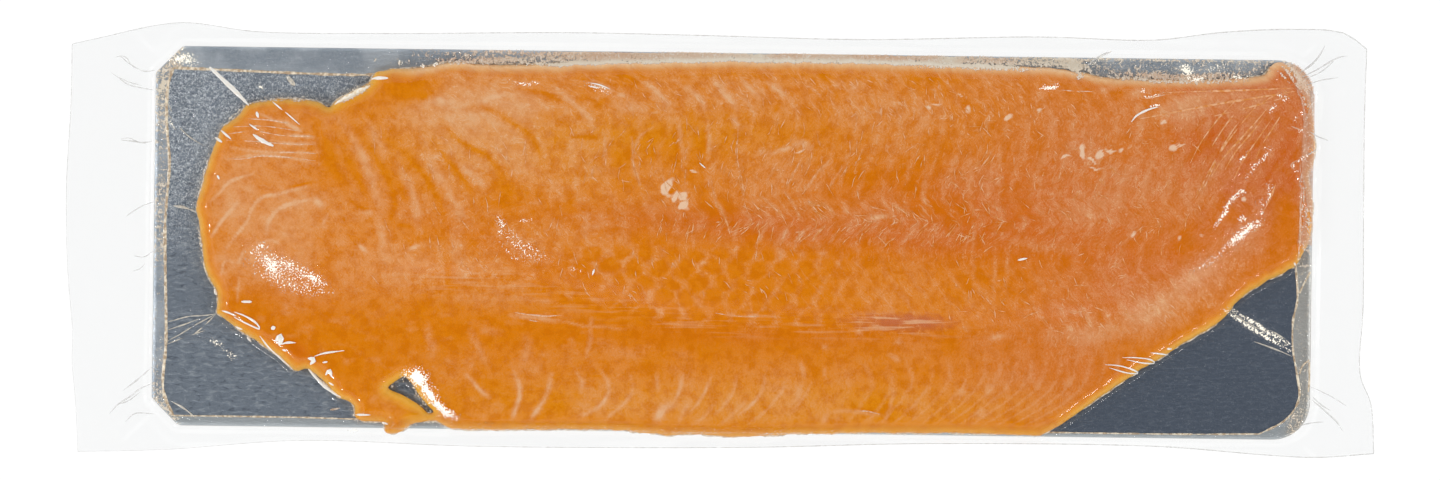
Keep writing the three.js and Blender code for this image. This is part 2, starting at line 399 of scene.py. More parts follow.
foil = Finish("silver foil")
at = foil.place()
x, y, z = at.parts()
lift = foil.field("lift")
ripple = foil.noise(foil.stretched(at, 0.5, 1.4), 2.3, 3, 0.6, 0.5)
grit = foil.noise(at, 0.95, 2, 0.8, 1.2)
cloudy = foil.noise(at, 16, 2)
pressed = lift.rise(0.4, -0.4)
far_left = x.rise(-195, -250) * y.rise(-30, 45)
crumpled = far_left.most(y.rise(46, 60) * x.rise(-110, -190) * 0.6)
# Painted reflection: the foil is lighter at the left and darker at the right, as a room darkening that way
# would be mirrored in it.
color = foil.tint(srgb(129, 139, 151), srgb(91, 101, 116), x.rise(-200, 190))
color = foil.tint(color, srgb(120, 130, 143), y.rise(36, 62) * 0.8)
color = foil.tint(color, srgb(140, 150, 163), cloudy.rise(0.36, 0.62) * crumpled * 0.8)
# Painted highlight and shade on the ripples: crests lighter and troughs darker, more so at the left; the
# ripples are also a bump.
to_the_right = x.rise(-60, 200)
painted_ripple_light = (ripple.rise(0.5, 0.82) * (0.46 - 0.38 * to_the_right)).clamped()
painted_ripple_shade = (ripple.rise(0.48, 0.2) * (0.64 - 0.46 * to_the_right)).clamped()
color = foil.tint(foil.tint(color, srgb(200, 207, 214), painted_ripple_light), srgb(72, 80, 94), painted_ripple_shade)
# Painted glints: near-white specks of crinkled film catching the light, most where the foil is crumpled, only
# where the film presses down.
painted_glints = grit.rise(0.51, 0.63) * (0.05 + 1.4 * crumpled) + grit.rise(0.68, 0.8) * 0.3
color = foil.tint(color, srgb(232, 237, 242), (painted_glints * pressed).clamped())

# Outside the lift-off line the foil is seen through loose film, and the card's cut edge is brown paper.
loose = foil.tint(srgb(158, 168, 179), srgb(188, 196, 204), cloudy.rise(0.35, 0.65))
loose = foil.tint(loose, srgb(212, 217, 222), grit.rise(0.5, 0.72) * 0.5)
loose = foil.tint(loose, srgb(181, 187, 190), y.rise(-84, -89))
loose = foil.tint(loose, srgb(184, 176, 160), x.rise(270, 281) * y.rise(8, -8) * 0.6)
color = foil.tint(loose, color, (pressed + 0.1).clamped())
core = z.rise(board_top - 0.5 * BOARD_CUT, board_top - BOARD_CUT - 0.1)
color = foil.tint(color, srgb(196, 178, 150), core)
board.data.materials.append(foil.skin({
    "Base Color": color,
    "Metallic": (0.45 * (1 - core)).clamped(),
    "Roughness": 0.34,
    "Normal": foil.bump(ripple, 0.25),
}))
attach(board, "root")
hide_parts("board")


# ---- The side of salmon ----------------------------------------------------------------------------
# One whole cold-smoked side, skinned and laid flesh up: thick along its back, thin along its belly, with
# the muscle segments showing as pale seams. It only lies on the foil, and the drawn film holds it.

SALMON_SIDES = [
    [[-243.5, -38.3], [-231, -47.2], [-215, -57.3], [-205.5, -65], [-199, -64.6], [-184, -78], [-176.5, -82],
     [-175.5, -88.6], [-162, -90.4], [-161.2, -94.4], [-156, -95], [-148, -90.3], [-137, -89.2],
     [-129, -92.3], [-70, -92], [-42, -92.6], [-26, -94.4], [-9, -93.8], [5.6, -94.6], [44, -92.8],
     [113, -91.5], [156, -92.2]],
    [[-230.7, 62.6], [-219, 65], [-208, 65.7], [-196, 64.3], [-190.5, 62.1], [-187, 65.4], [-175.5, 71.4],
     [-171, 74.8], [-168.4, 79], [-157, 80.9], [-142, 82.4], [-136, 84.2], [-105, 83.8], [-44, 86], [8, 87.5],
     [70, 87.3], [117, 86.4], [163, 85], [187, 81.4], [216, 80.8], [240, 81.2], [256, 82.3], [262.5, 83.8],
     [265.5, 87.8], [269.5, 89.8], [276, 87.2], [282, 80.5], [284.5, 72]],
    [[-243.5, -38.3], [-243.8, -28], [-248.2, -20], [-252.5, 4], [-254, 14], [-250.8, 27], [-246.8, 40],
     [-242, 51.5], [-235, 57], [-230.7, 62.6]],
    [[156, -92.2], [167, -85.7], [192.5, -67.5], [222, -48.2], [243, -34.8], [252, -24.5], [264, -16.2],
     [278, -8.6], [281.8, -1.6], [285.3, 6], [286, 24], [284, 33.3], [286.6, 44], [286, 60], [284.5, 72]],
]
SALMON_CELLS = (640, 236)
RAGGED_DEPTH = 1.5  # of the small teeth along the cut, and how long they are
RAGGED_LENGTH = 5
TEAR_POINTS = 60
TEAR = curve_through(
    [[-152.4, -67.4], [-157.5, -70.6], [-160.3, -73.4], [-152.8, -77], [-144.8, -81.8], [-140.6, -85.4],
     [-138.2, -84.8], [-141.4, -81.2], [-145.4, -76.4], [-148.4, -71.6], [-152.4, -67.4]], TEAR_POINTS)[:-1]
EDGE_THICK = 2.2
EDGE_ROUND = 8
BELLY_THICK = 7
LOIN_THICK = 15.5
EDGE_THICK_BACK = 11
LOBE_THICK = 9
TAIL_SHARE = 0.78  # how thick the right end is beside the rest
SEAM_GROOVE = 0.9
SWELLS = 1.4  # height of the soft lumps in the flesh, and of the small ones on them
PUCKERS = 0.35
SALMON_FOOT = ((-0.25, 1.2), (0, 0))  # inset and height of the rings below the rim
STROKE_STEPS = 30

salmon_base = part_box("salmon")[0].z / MM


def bump_at(x, y, cx, cy, rx, ry, turn=0):
    """A soft round hump of radii rx and ry at (cx, cy), turned by some degrees."""
    c, s = math.cos(math.radians(turn)), math.sin(math.radians(turn))
    along, across = (x - cx) * c + (y - cy) * s, (y - cy) * c - (x - cx) * s
    return np.exp(-((along / rx) ** 2) - (across / ry) ** 2)


def drift(x, y, size, octaves, seed):
    """Soft unevenness from 0 to 1, with lumps of about that size and ever finer ones on them."""
    total = 0
    for k in range(octaves):
        table = np.random.default_rng(seed + k).random((256, 256))
        u, v = x * 2**k / size + 900, y * 2**k / size + 900
        i, j = np.floor(u).astype(int), np.floor(v).astype(int)
        a, b = smooth(u - i), smooth(v - j)
        low = mix(table[i % 256, j % 256], table[(i + 1) % 256, j % 256], a)
        high = mix(table[i % 256, (j + 1) % 256], table[(i + 1) % 256, (j + 1) % 256], a)
        total = total + mix(low, high, b) / 2**k
    return total / (2 - 2.0 ** (1 - octaves))


def jitter(x, y, size, octaves, *seeds):
    """Such unevenness to either side of 0, once for each seed."""
    return np.column_stack([drift(x, y, size, octaves, seed) - 0.5 for seed in seeds])


def drawn(points, strokes):
    """Soft strokes over a plan, each given as (half width, strength, line): the strongest at each point."""
    field = np.zeros(len(points))
    for width, strength, line in strokes:
        path = curve_through(line, STROKE_STEPS)
        inside = ((points > path.min(0) - 2.5 * width) & (points < path.max(0) + 2.5 * width)).all(1)
        close = np.flatnonzero(inside)
        gaps = np.hypot(*(points[close][:, None] - path[None]).transpose(2, 0, 1))
        fade = np.sin(np.pi * np.clip(gaps.argmin(1) / STROKE_STEPS, 0.06, 0.94)) ** 0.5
        soft = strength * fade * np.exp(-((gaps.min(1) / width) ** 2))
        field[close] = np.maximum(field[close], soft)
    return field


def scaled(strokes, wider, stronger=1):
    """The same strokes, made wider and stronger."""
    return [(wider * width, stronger * strength, line) for width, strength, line in strokes]


# How far each muscle seam leans to the right of its place at y = 44, read down the fish (rows) at seven
# places along it (columns); then the spacing of the seams along the fish.
SEAM_ROWS = [83, 73, 62, 53, 44, 32, 22, 11, 0, -10, -29, -41]
SEAM_PLACES = [-185, -141, -107, -78, -30, 20, 90]
SEAM_LEAN = np.array([
    [-9, -36, -46, -29, -13.5, -11.6, -11],
    [-6, -24, -30, -14.5, -4, -3, -2],
    [-3, -13.5, -15.5, -3, 4, 4, 3],
    [0, -6, -6, 1, 2, 3, 2],
    [2.4, -1, 1, 1, -1.5, 0, 0],
    [5, 4.4, 6.3, 0.5, 0, -5, -5],
    [9, 8, 7.8, 3, 3, -7.2, -7],
    [13.5, 10.6, 8.7, 7, 10.7, 3, 2],
    [18.5, 13, 9.7, 9, 7, -6, -6],
    [24, 15.5, 10.7, 10, 9.7, -7, -7],
    [34, 19, 14.5, 16.5, 22, 9, 7],
    [39, 22, 17.5, 22, 30, 18.5, 15],
])
SPACING_PLACES = [-260, -185, -141, -107, -78, -30, 10, 34, 90, 300]
SEAM_SPACING = [14, 15, 18, 19, 17, 12.6, 13, 10, 10.2, 11.5]
BELLY_ROWS = [-40, -50.6, -57.9, -63.7, -70, -77.3, -83, -89.4, -95]
BELLY_LEAN = [-20, -10.5, -4, 0, 2, 0, -4, -10, -16]
BELLY_PLACES = [-260, -130, -60, 0, 60, 130, 300]
BELLY_SPACING = [15, 15.5, 13.6, 13.4, 10.5, 7, 7]


def seams_until(x, places, spacing):
    """How many seams lie to the left of x, with that spacing at those places."""
    fine = np.linspace(-320, 320, 1281)
    return np.interp(x, fine, np.cumsum((fine[1] - fine[0]) / np.interp(fine, places, spacing)))


def back_seams(x, y):
    """Which seam of the back a point lies at, counted along the fish."""
    lean = np.zeros_like(x)
    share = np.interp(x, SEAM_PLACES, np.arange(len(SEAM_PLACES)))
    for k in range(len(SEAM_PLACES)):
        lean += np.clip(1 - np.abs(share - k), 0, 1) * np.interp(y, SEAM_ROWS[::-1], SEAM_LEAN[::-1, k])
    return seams_until(x - lean, SPACING_PLACES, SEAM_SPACING)


def belly_seams(x, y):
    """The same for the belly."""
    lean = np.interp(y, BELLY_ROWS[::-1], BELLY_LEAN[::-1])
    slant = 0.9 * smooth((x - 40) / 110) * (y + 70)
    return seams_until(x - lean - slant, BELLY_PLACES, BELLY_SPACING)


def seam_line(x):
    """Where the valley between back and belly runs."""
    return np.interp(x, [-200, -107, -78, -30, 0, 120, 200], [-20, -22, -29, -38, -41.5, -43.5, -36])


def flesh_height(x, y, edge):
    """Height of the flesh above its underside, at a distance from its edge."""
    edges = np.sqrt(np.clip(1 - (1 - np.clip(edge / EDGE_ROUND, 0, 1)) ** 2, 0, 1))
    back = mix(BELLY_THICK, mix(EDGE_THICK_BACK, LOIN_THICK, smooth(edge / 60)), smooth((y + 62) / 80))
    full = mix(LOBE_THICK, back, smooth((x + 250) / 130))
    full = mix(full, TAIL_SHARE * back, smooth((x - 150) / 130))
    full -= SEAM_GROOVE * smooth((x + 190) / 60) * np.exp(-(((y - seam_line(x)) / 9) ** 2))
    full += SWELLS * (drift(x, y, 50, 2, 3) - 0.5) + PUCKERS * (drift(x, y, 7, 3, 4) - 0.5)
    return EDGE_THICK + (full - EDGE_THICK) * edges


def uneven(side, seed):
    """A side made ragged to either hand, but not at its ends."""
    hold = np.sin(np.pi * np.linspace(0, 1, len(side))) ** 0.3
    teeth = drift(*side.T, RAGGED_LENGTH, 3, seed) - 0.5
    return side - right_of(np.gradient(side, axis=0)) * (RAGGED_DEPTH * hold * teeth)[:, None]


salmon_sides = [uneven(side, 81 + k) for k, side in enumerate(four_sides(SALMON_SIDES, SALMON_CELLS))]
salmon_grid = patch(*salmon_sides)
salmon_outline = closed(*salmon_sides)


def inside_flesh(points):
    """How far each point lies inside the flesh: below 0 off it or in the tear."""
    return np.minimum(-signed_distance(points, salmon_outline), signed_distance(points, TEAR))


flat = salmon_grid.reshape(-1, 2)
edge = inside_flesh(flat)
edge[rim_of(*salmon_grid.shape[:2])] = 0
height = salmon_base + flesh_height(*flat.T, np.clip(edge, 0, None))
salmon = slab("side_of_salmon", salmon_grid, height, [(inset, salmon_base + z) for inset, z in SALMON_FOOT])

# The tear is cut out of the flesh with a plug that reaches well past it.
tear_wall = np.vstack([np.column_stack([TEAR, np.full(len(TEAR), salmon_base + z)]) for z in (-4, 20)])
low = np.arange(len(TEAR))
high = low + len(TEAR)
tear_faces = np.column_stack([low, np.roll(low, -1), np.roll(high, -1), high]).tolist()
plug = mesh_piece("tear_plug", tear_wall, tear_faces + [low[::-1].tolist(), high.tolist()])
cut = salmon.modifiers.new("tear", "BOOLEAN")
cut.operation, cut.solver, cut.object = "DIFFERENCE", "MANIFOLD", plug
bpy.context.view_layer.update()
torn = bpy.data.meshes.new_from_object(salmon.evaluated_get(bpy.context.evaluated_depsgraph_get()))
salmon.modifiers.clear()
salmon.data = torn
bpy.data.objects.remove(plug)
torn.shade_smooth()

# The flesh is clear orange muscle under a pale milky haze of fat and fibre. Patches where it is clearer or
# milkier than round about are drawn one by one, each as (half width, strength, line).
CLEAR_PATCHES = [
    (5, 1.3, [[-169, 77], [-157, 77], [-141, 74]]), (3, 1, [[-150, 70], [-141, 68]]),
    (4.5, 1.3, [[-164, 72.5], [-154, 71.5], [-144, 71]]),
    (2.7, 1, [[-195, 52], [-191, 43], [-188, 33], [-182, 21]]),
    (2.2, 1, [[-184, 44], [-179, 34], [-174, 24], [-170, 16]]),
    (0.7, 0.9, [[-195, 26.5], [-203, 24.5], [-211.5, 22]]),
    (1, 0.8, [[-182.5, 19.5], [-174.5, 14.5], [-165.5, 12.5]]),
    (1.8, 0.95, [[-177, 51], [-171, 43], [-166, 36], [-161, 27], [-158, 18], [-159, 9], [-157, -1]]),
    (1.5, 0.8, [[-159, 28], [-154, 22], [-152, 15]]), (1.5, 0.9, [[-158, 6], [-149, 5]]),
    (1.9, 0.95, [[-161, 46], [-152, 39], [-146, 32], [-141, 25], [-137, 18], [-135, 11], [-133, 1]]),
    (1.5, 0.7, [[-133, -4], [-132, -15], [-130, -28]]),
    (1.7, 0.9, [[-140, 46], [-132, 37], [-127, 31], [-122, 24], [-120, 18], [-119, 10]]),
    (1.7, 0.95, [[-136, 56], [-131, 51], [-125, 45], [-116, 41], [-109, 34], [-104, 27], [-103, 20]]),
    (2.4, 0.8, [[-107, 30], [-104, 20], [-101, 13]]),
    (1.6, 0.85, [[-121, 63], [-110, 61], [-100, 55], [-92, 48], [-88, 42], [-86, 33]]),
    (1, 0.6, [[-85, 46], [-81.5, 38], [-83, 32]]), (0.9, 1, [[-72, 48.5], [-65, 49], [-58.5, 49]]),
    (1, 0.8, [[-98.5, 72.5], [-88.5, 70.5], [-80.5, 67], [-72, 63.5]]),
    (1.2, 0.7, [[-71, 69.5], [-64.5, 68], [-57.5, 65]]), (0.7, 0.5, [[-134.5, 70], [-125, 67.5]]),
    (2.9, 0.8, [[-61, 67], [-57, 65]]), (1.9, 0.9, [[-15, 64], [-15, 55]]), (1.9, 0.8, [[0, 60], [2, 59]]),
    (2.2, 0.9, [[24, 65], [27, 63]]), (1.7, 0.6, [[40, 64], [43, 63]]), (1.9, 0.6, [[-54, 53], [-51, 50]]),
    (2.2, 0.6, [[-25, 43], [-22, 40]]), (1.9, 0.6, [[-35, 66], [-32, 63]]),
    (1.9, 0.5, [[59, 52], [63, 49]]), (1.5, 0.6, [[11, 7], [12, 3]]), (1.5, 0.5, [[54, 22], [57, 30]]),
    (1.9, 0.5, [[44, 24], [47, 22]]), (1.5, 0.8, [[-70, -25], [-53, -28], [-39, -29]]),
    (1.7, 0.6, [[-78, -31], [-58, -34], [-39, -37]]), (2.4, 0.8, [[-63, -45], [-39, -47], [-10, -49]]),
    (1.9, 0.9, [[31, -34], [37, -37]]), (1.5, 0.9, [[40, -36], [45, -36]]),
    (2.2, 0.9, [[49, -35], [53, -38]]), (1.5, 0.8, [[60, -36], [63, -36]]),
    (1.7, 0.7, [[54, -30], [56, -31]]), (1.5, 0.8, [[100, -32], [107, -36], [112, -40]]),
    (1.5, 0.5, [[107, -49], [115, -52]]), (1.5, 0.5, [[-29, -72], [-31, -77]]),
    (1.2, 0.8, [[-77, -77.5], [-74, -84]]), (1.5, 0.7, [[-68, -74], [-70, -78]]),
    (1.2, 0.6, [[-37.5, -70.5], [-33.5, -76]]), (1, 0.6, [[90, -82.5], [95.5, -81.5]]),
    (1, 0.5, [[42.5, -82.5], [47, -81]]), (1.9, 0.9, [[171, -81], [178, -75], [185, -69], [194, -64]]),
]
PALE_PATCHES = [
    (2.4, 0.34, [[-185, 56], [-178, 47], [-173, 38], [-170, 28], [-166, 16]]),
    (1.7, 0.3, [[-171, 55], [-167, 47], [-163, 38]]),
    (1.9, 0.34, [[-157, 36], [-152, 28], [-149, 21], [-148, 14], [-146, 2]]),
    (2.2, 0.3, [[-144, 39], [-137, 29], [-131, 21], [-127, 14], [-124, 9]]),
    (1.9, 0.3, [[-126, 35], [-118, 28], [-114, 22]]), (2.2, 0.22, [[-166, 12], [-164, -1], [-163, -12]]),
    (3.2, 0.22, [[-129, 6], [-128, -3], [-126, -13]]), (1.9, 0.3, [[-174, 11], [-167, 11]]),
    (2.2, 0.5, [[-145, 65], [-139, 66], [-132, 65]]),
    (1.2, 0.4, [[-118.5, 65], [-112, 67.5], [-105, 69.5]]),
    (1.2, 0.55, [[-66, 76], [-59.5, 74], [-53, 72]]), (1, 0.4, [[-51, 70], [-46, 69.5]]),
    (1.2, 0.45, [[-81, 72], [-73, 66.5], [-66.5, 61.5], [-63, 57], [-63, 53]]),
    (3.4, 0.22, [[-51, 65], [-43, 63]]), (1.2, 0.5, [[-36, 75.5], [-31.5, 71], [-26, 65]]),
    (1.2, 0.5, [[-17, 73.5], [-10, 67], [-9, 61.5]]), (1.5, 0.6, [[-5, 78], [1, 71], [7, 64]]),
    (1, 0.45, [[8.5, 78], [13.5, 73.5], [18.5, 68.5]]), (1.2, 0.5, [[22.5, 77.5], [26, 73.5], [29.5, 69]]),
    (0.7, 0.35, [[38, 79.5], [43, 74], [48, 68.5]]), (1.5, 0.5, [[54, 77], [55, 75]]),
    (1.5, 0.5, [[63, 76], [64, 74]]), (1.5, 0.5, [[5, 60], [8, 55]]),
    (1.2, 0.45, [[-22, 58], [-20, 47], [-18.5, 40]]), (1.1, 0.5, [[-7.5, 58], [-6.5, 49.5], [-7, 39]]),
    (0.7, 0.4, [[-57, 50], [-56.5, 38.5]]), (0.6, 0.4, [[-43.5, 49.5], [-43, 38], [-40, 26.5]]),
    (0.6, 0.35, [[-42.5, 43.5], [-39, 50.5], [-34, 54]]),
    (0.5, 0.4, [[7.5, 54], [7.5, 39], [10, 28], [11, 18.5], [14.5, 11]]),
    (0.6, 0.4, [[-5, 29], [-2.5, 18.5], [1.5, 11.5], [5, 1]]),
    (1, 0.5, [[24, 42.5], [30, 44.5], [35, 46]]), (1.5, 0.55, [[35, 46], [39, 48], [41, 44]]),
    (1.2, 0.45, [[18, 43], [20, 43.5]]), (0.5, 0.3, [[26.5, 38], [22, 29.5]]),
    (0.5, 0.35, [[38, 39.5], [31.5, 27]]), (0.5, 0.35, [[48.5, 37], [40, 25.5]]),
    (0.5, 0.3, [[58, 36], [52, 26]]), (0.5, 0.4, [[19.5, 21.5], [29.5, 12], [32, 7]]),
    (0.6, 0.45, [[30, 24.5], [36, 15.5], [39, 10.5]]), (0.6, 0.45, [[41.5, 20], [46.5, 14.5]]),
    (0.6, 0.35, [[49.5, 19.5], [54, 13.5]]), (0.6, 0.5, [[83, 18.5], [90.5, 13.5]]),
    (0.5, 0.35, [[32, 7], [28.5, -2.5]]), (0.5, 0.3, [[41.5, 7.5], [36.5, 1]]),
    (0.5, 0.3, [[50.5, 8], [44, 1]]), (0.5, 0.3, [[57.5, 7], [52, -0.5]]),
    (0.7, 0.4, [[9, 9.5], [5, 0.5]]), (0.7, 0.4, [[21, 6.5], [18, -0.5]]),
    (1.5, 0.45, [[71, 12], [77, 13], [82, 13]]), (1.2, 0.35, [[58.5, 18], [60.5, 14.5]]),
    (1.2, 0.4, [[-10, -11], [-5, -10.5]]), (1, 0.3, [[28.5, -2], [29, -10]]),
    (1, 0.35, [[39.5, -5.5], [41.5, -7.5]]), (1, 0.35, [[47, -6.5], [51, -5.5]]),
    (1.2, 0.16, [[99, 2], [98, 21], [99, 45]]), (1.2, 0.14, [[120, 16], [120, 46]]),
    (1.2, 0.14, [[134, 12], [133, 51]]), (1.2, 0.14, [[153.5, 12], [153, 41]]),
    (1, 0.14, [[178, 2.5], [177, 22]]), (0.7, 0.3, [[121.5, 11.5], [122.5, -22.5]]),
    (0.7, 0.3, [[132.5, 2], [132, -27]]), (0.7, 0.22, [[138.5, -2.5], [137.5, -22]]),
    (2.2, 0.18, [[135, 3], [145, 0], [157, -1], [171, -2]]),
    (4, 0.18, [[160, -44], [180, -43], [198, -39]]), (4, 0.22, [[196, -37], [210, -31], [222, -22]]),
    (3.2, 0.22, [[222, -22], [230, -14], [238, -6]]), (2.2, 0.25, [[172, -44], [178, -41], [181, -36]]),
    (1.7, 0.25, [[186, -46], [190, -42]]), (1.2, 0.4, [[131, -45.5], [137, -44.5]]),
    (1.2, 0.4, [[50.5, -50], [51.5, -51.5]]), (1.2, 0.4, [[67, -41.5], [68, -45.5]]),
    (1, 0.4, [[82, -54], [86.5, -57]]), (1.7, 0.4, [[86, -48], [87, -48]]),
    (0.7, 0.35, [[39.5, -57.5], [40.5, -66]]), (0.7, 0.3, [[50.5, -61], [51, -66]]),
    (3.2, 0.16, [[205, 62], [225, 70], [250, 76]]), (1.5, 0.3, [[181, 74], [187, 76], [191, 77]]),
    (2.2, 0.35, [[196, 72], [202, 75], [205, 76]]),
    (1.1, 0.5, [[-101.5, -37], [-95, -38], [-87.5, -38.5], [-79.5, -40]]),
    (0.8, 0.35, [[-79.5, -40], [-68, -41.5], [-55, -42.5], [-45.5, -43.5]]),
    (1, 0.4, [[-62, -38], [-63, -49], [-64, -57]]), (0.8, 0.4, [[-1, -35.5], [9.5, -36], [22, -37]]),
    (0.7, 0.25, [[-78, -21.5], [-63, -24], [-48.5, -27.5], [-34, -29]]),
    (0.7, 0.25, [[-77.5, -27], [-58.5, -30], [-39, -33], [-9.5, -37.5], [0, -40.5]]),
    (0.6, 0.22, [[-107, -30], [-87.5, -30], [-75, -32.5]]),
    (1.7, 0.25, [[-142, -43], [-140, -50], [-139, -58]]),
    (1.9, 0.25, [[-120, -45], [-115, -57], [-112, -62]]),
    (2.4, 0.22, [[-94, -48], [-93, -55], [-94, -62]]), (2.2, 0.18, [[-113, -44], [-107, -46]]),
    (3.4, 0.14, [[-58, -51], [-46, -55], [-34, -53]]), (2.4, 0.14, [[-21, -54], [-14, -56]]),
]
BELLY_SEAMS = [
    (0.6, 0.75, [[-122.5, -66.5], [-116.5, -73], [-111, -77.5]]),
    (0.8, 0.75, [[-99.5, -64.5], [-97, -70.5], [-96.5, -75.5], [-98.5, -83.5], [-100.5, -89.5]]),
    (0.8, 0.7, [[-81.5, -66], [-82.5, -72.5], [-85, -78.5], [-90, -86.5], [-92.5, -91]]),
    (0.7, 0.5, [[-70, -63], [-66.5, -68.5], [-67, -74.5]]),
    (0.7, 0.55, [[-57, -63.5], [-54, -69], [-53.5, -74], [-57.5, -80.5], [-66, -85.5]]),
    (0.7, 0.45, [[-43, -66], [-42, -73], [-45.5, -79], [-53.5, -86], [-57.5, -89.5]]),
    (0.6, 0.5, [[-30.5, -65], [-29.5, -73]]), (0.7, 0.5, [[-17.5, -65.5], [-19.5, -73.5], [-22, -79]]),
    (1.5, 0.75, [[-22, -79], [-27, -82], [-29, -85], [-30, -89]]),
    (0.6, 0.45, [[-4, -65], [-6.5, -72.5], [-11, -80], [-14, -83]]),
    (1, 0.3, [[-14, -77.5], [-17.5, -84.5], [-19.5, -89]]),
    (0.6, 0.42, [[8.5, -65.5], [7, -72.5], [1.5, -81], [-1.5, -83.5]]),
    (0.7, 0.3, [[-1.5, -78], [-7, -85], [-12, -89]]),
    (0.6, 0.42, [[22, -65.5], [21, -72], [15, -80], [9.5, -84]]),
    (0.7, 0.28, [[12.5, -78], [4.5, -86], [-0.5, -90]]),
    (0.6, 0.4, [[32.5, -66.5], [30, -73], [23.5, -81], [14.5, -88.5]]),
    (1.2, 0.35, [[39, -69], [38, -75], [34.5, -79.5]]),
    (0.6, 0.32, [[45, -68], [40, -76.5], [34.5, -83.5]]),
    (0.6, 0.5, [[85, -70.5], [82.5, -81], [79.5, -89.5]]),
    (0.6, 0.4, [[55, -82.5], [61.5, -81.5], [71.5, -82.5], [80, -83.5]]),
    (0.8, 0.35, [[50.5, -89], [52, -83.5]]), (0.8, 0.35, [[56, -90], [58, -84.5]]),
    (0.7, 0.25, [[72.5, -88], [75.5, -82]]), (1.5, 0.35, [[124, -83], [129, -81]]),
    (1.5, 0.3, [[129, -74], [131, -66]]), (1.2, 0.3, [[116, -74], [119, -70]]),
    (1.2, 0.3, [[167.5, -67.5], [170, -63.5]]),
]
LOBE_SEAMS = [
    (0.6, 0.4, [[-246.5, -1], [-241, 7], [-235, 14]]), (0.8, 0.35, [[-236.5, 13.5], [-234.5, 15]]),
    (0.5, 0.32, [[-247.5, 15.5], [-243, 19.5], [-239, 24.5], [-233.5, 27.5], [-227.5, 29]]),
    (0.6, 0.35, [[-239, -6.5], [-233.5, 0.5], [-229, 7], [-227, 13], [-222, 18], [-211, 20.5], [-201, 23.5]]),
    (0.6, 0.35, [[-220, 0.5], [-218.5, 7], [-214, 12.5], [-206.5, 15.5], [-196, 18]]),
    (1, 0.3, [[-207.5, 15], [-204.5, 16]]), (1, 0.35, [[-196.5, 17.5], [-193, 14]]),
    (0.5, 0.25, [[-190, 10.5], [-193, 4.5]]), (0.5, 0.25, [[-241.5, -19.5], [-239.5, -13], [-236, -13.5]]),
    (0.5, 0.25, [[-233, -13.5], [-230.5, -7.5]]), (0.5, 0.2, [[-233.5, -32], [-233, -21]]),
    (0.5, 0.2, [[-222.5, -4.5], [-218, -2.5], [-214, -4.5]]),
    (0.5, 0.3, [[-239, 36.5], [-223, 38.5], [-210, 37.5], [-195, 34.5]]),
    (0.5, 0.28, [[-237.5, 42], [-220.5, 40], [-195, 40]]),
    (0.5, 0.28, [[-215.5, 45], [-206, 44], [-197, 44.5]]), (0.5, 0.3, [[-210, 48.5], [-197.5, 47.5]]),
    (0.6, 0.4, [[-212.5, 55], [-208, 52.5], [-204, 50.5]]),
    (0.5, 0.3, [[-223.5, 58.5], [-216.5, 55.5], [-210, 54]]), (0.7, 0.35, [[-175, -4.5], [-171.5, -7.5]]),
    (0.7, 0.3, [[-150.5, -6], [-146, -4.5]]),
]
FAT = [
    (1.6, 1.4, [[-23, 29.5], [-26, 26.5], [-27.5, 24], [-25.5, 21.5]]),
    (2.4, 1.3, [[-23.5, 21.5], [-20.5, 20]]), (2, 1.3, [[-19.5, 22], [-17, 20]]),
    (2.2, 1.3, [[-19.5, 18.5], [-17, 15.5]]), (1.4, 1, [[212, 60.5], [213, 59.5]]),
    (2.3, 1, [[217, 49], [219, 46]]), (1.7, 0.9, [[191.5, 47], [193, 45.5]]),
    (1.6, 0.9, [[152, 66], [154, 64]]), (1.2, 0.9, [[174, 50], [174, 41]]),
    (1.4, 0.9, [[183, 47.5], [181, 41]]), (1.7, 1, [[187, 46], [188.5, 45.5]]),
    (2.6, 0.9, [[137, 63], [139, 60]]), (1.4, 0.8, [[118, 68], [119, 62]]),
    (1.2, 0.8, [[99.5, 67], [100, 64]]), (2.3, 0.8, [[199, 6.5], [200.5, 4.5]]),
    (1.7, 0.7, [[220, 4.5], [223, 4]]), (1.9, 0.6, [[231, 6], [234, 5.5]]),
    (1.4, 0.7, [[194, 16], [197, 14]]), (2, 0.9, [[251.5, 24], [254, 22.5]]),
    (0.8, 1, [[174, 50], [173, 45], [175, 40.5]]), (0.7, 1, [[175, 42], [179, 41], [181, 38.5]]),
    (0.8, 1, [[181, 48], [183.5, 44.5], [181.5, 41]]), (0.7, 0.9, [[176, 38.5], [180, 37], [184, 38]]),
    (0.7, 1, [[184, 47.5], [188, 45.5], [191.5, 46.5]]),
    (0.7, 0.9, [[163, 40.5], [166, 43], [169.5, 42.5]]), (0.7, 0.9, [[219, 51], [222, 49], [224.5, 49.5]]),
    (0.7, 0.9, [[213, 62], [215, 58.5]]), (0.8, 0.9, [[-16, 34.5], [-11, 32]]),
    (0.7, 0.8, [[33, 41.5], [38, 43.5], [42, 46.5]]), (0.7, 0.8, [[100, 69], [104, 67], [107, 68]]),
    (0.8, 0.8, [[113, 73], [116, 71]]),
]
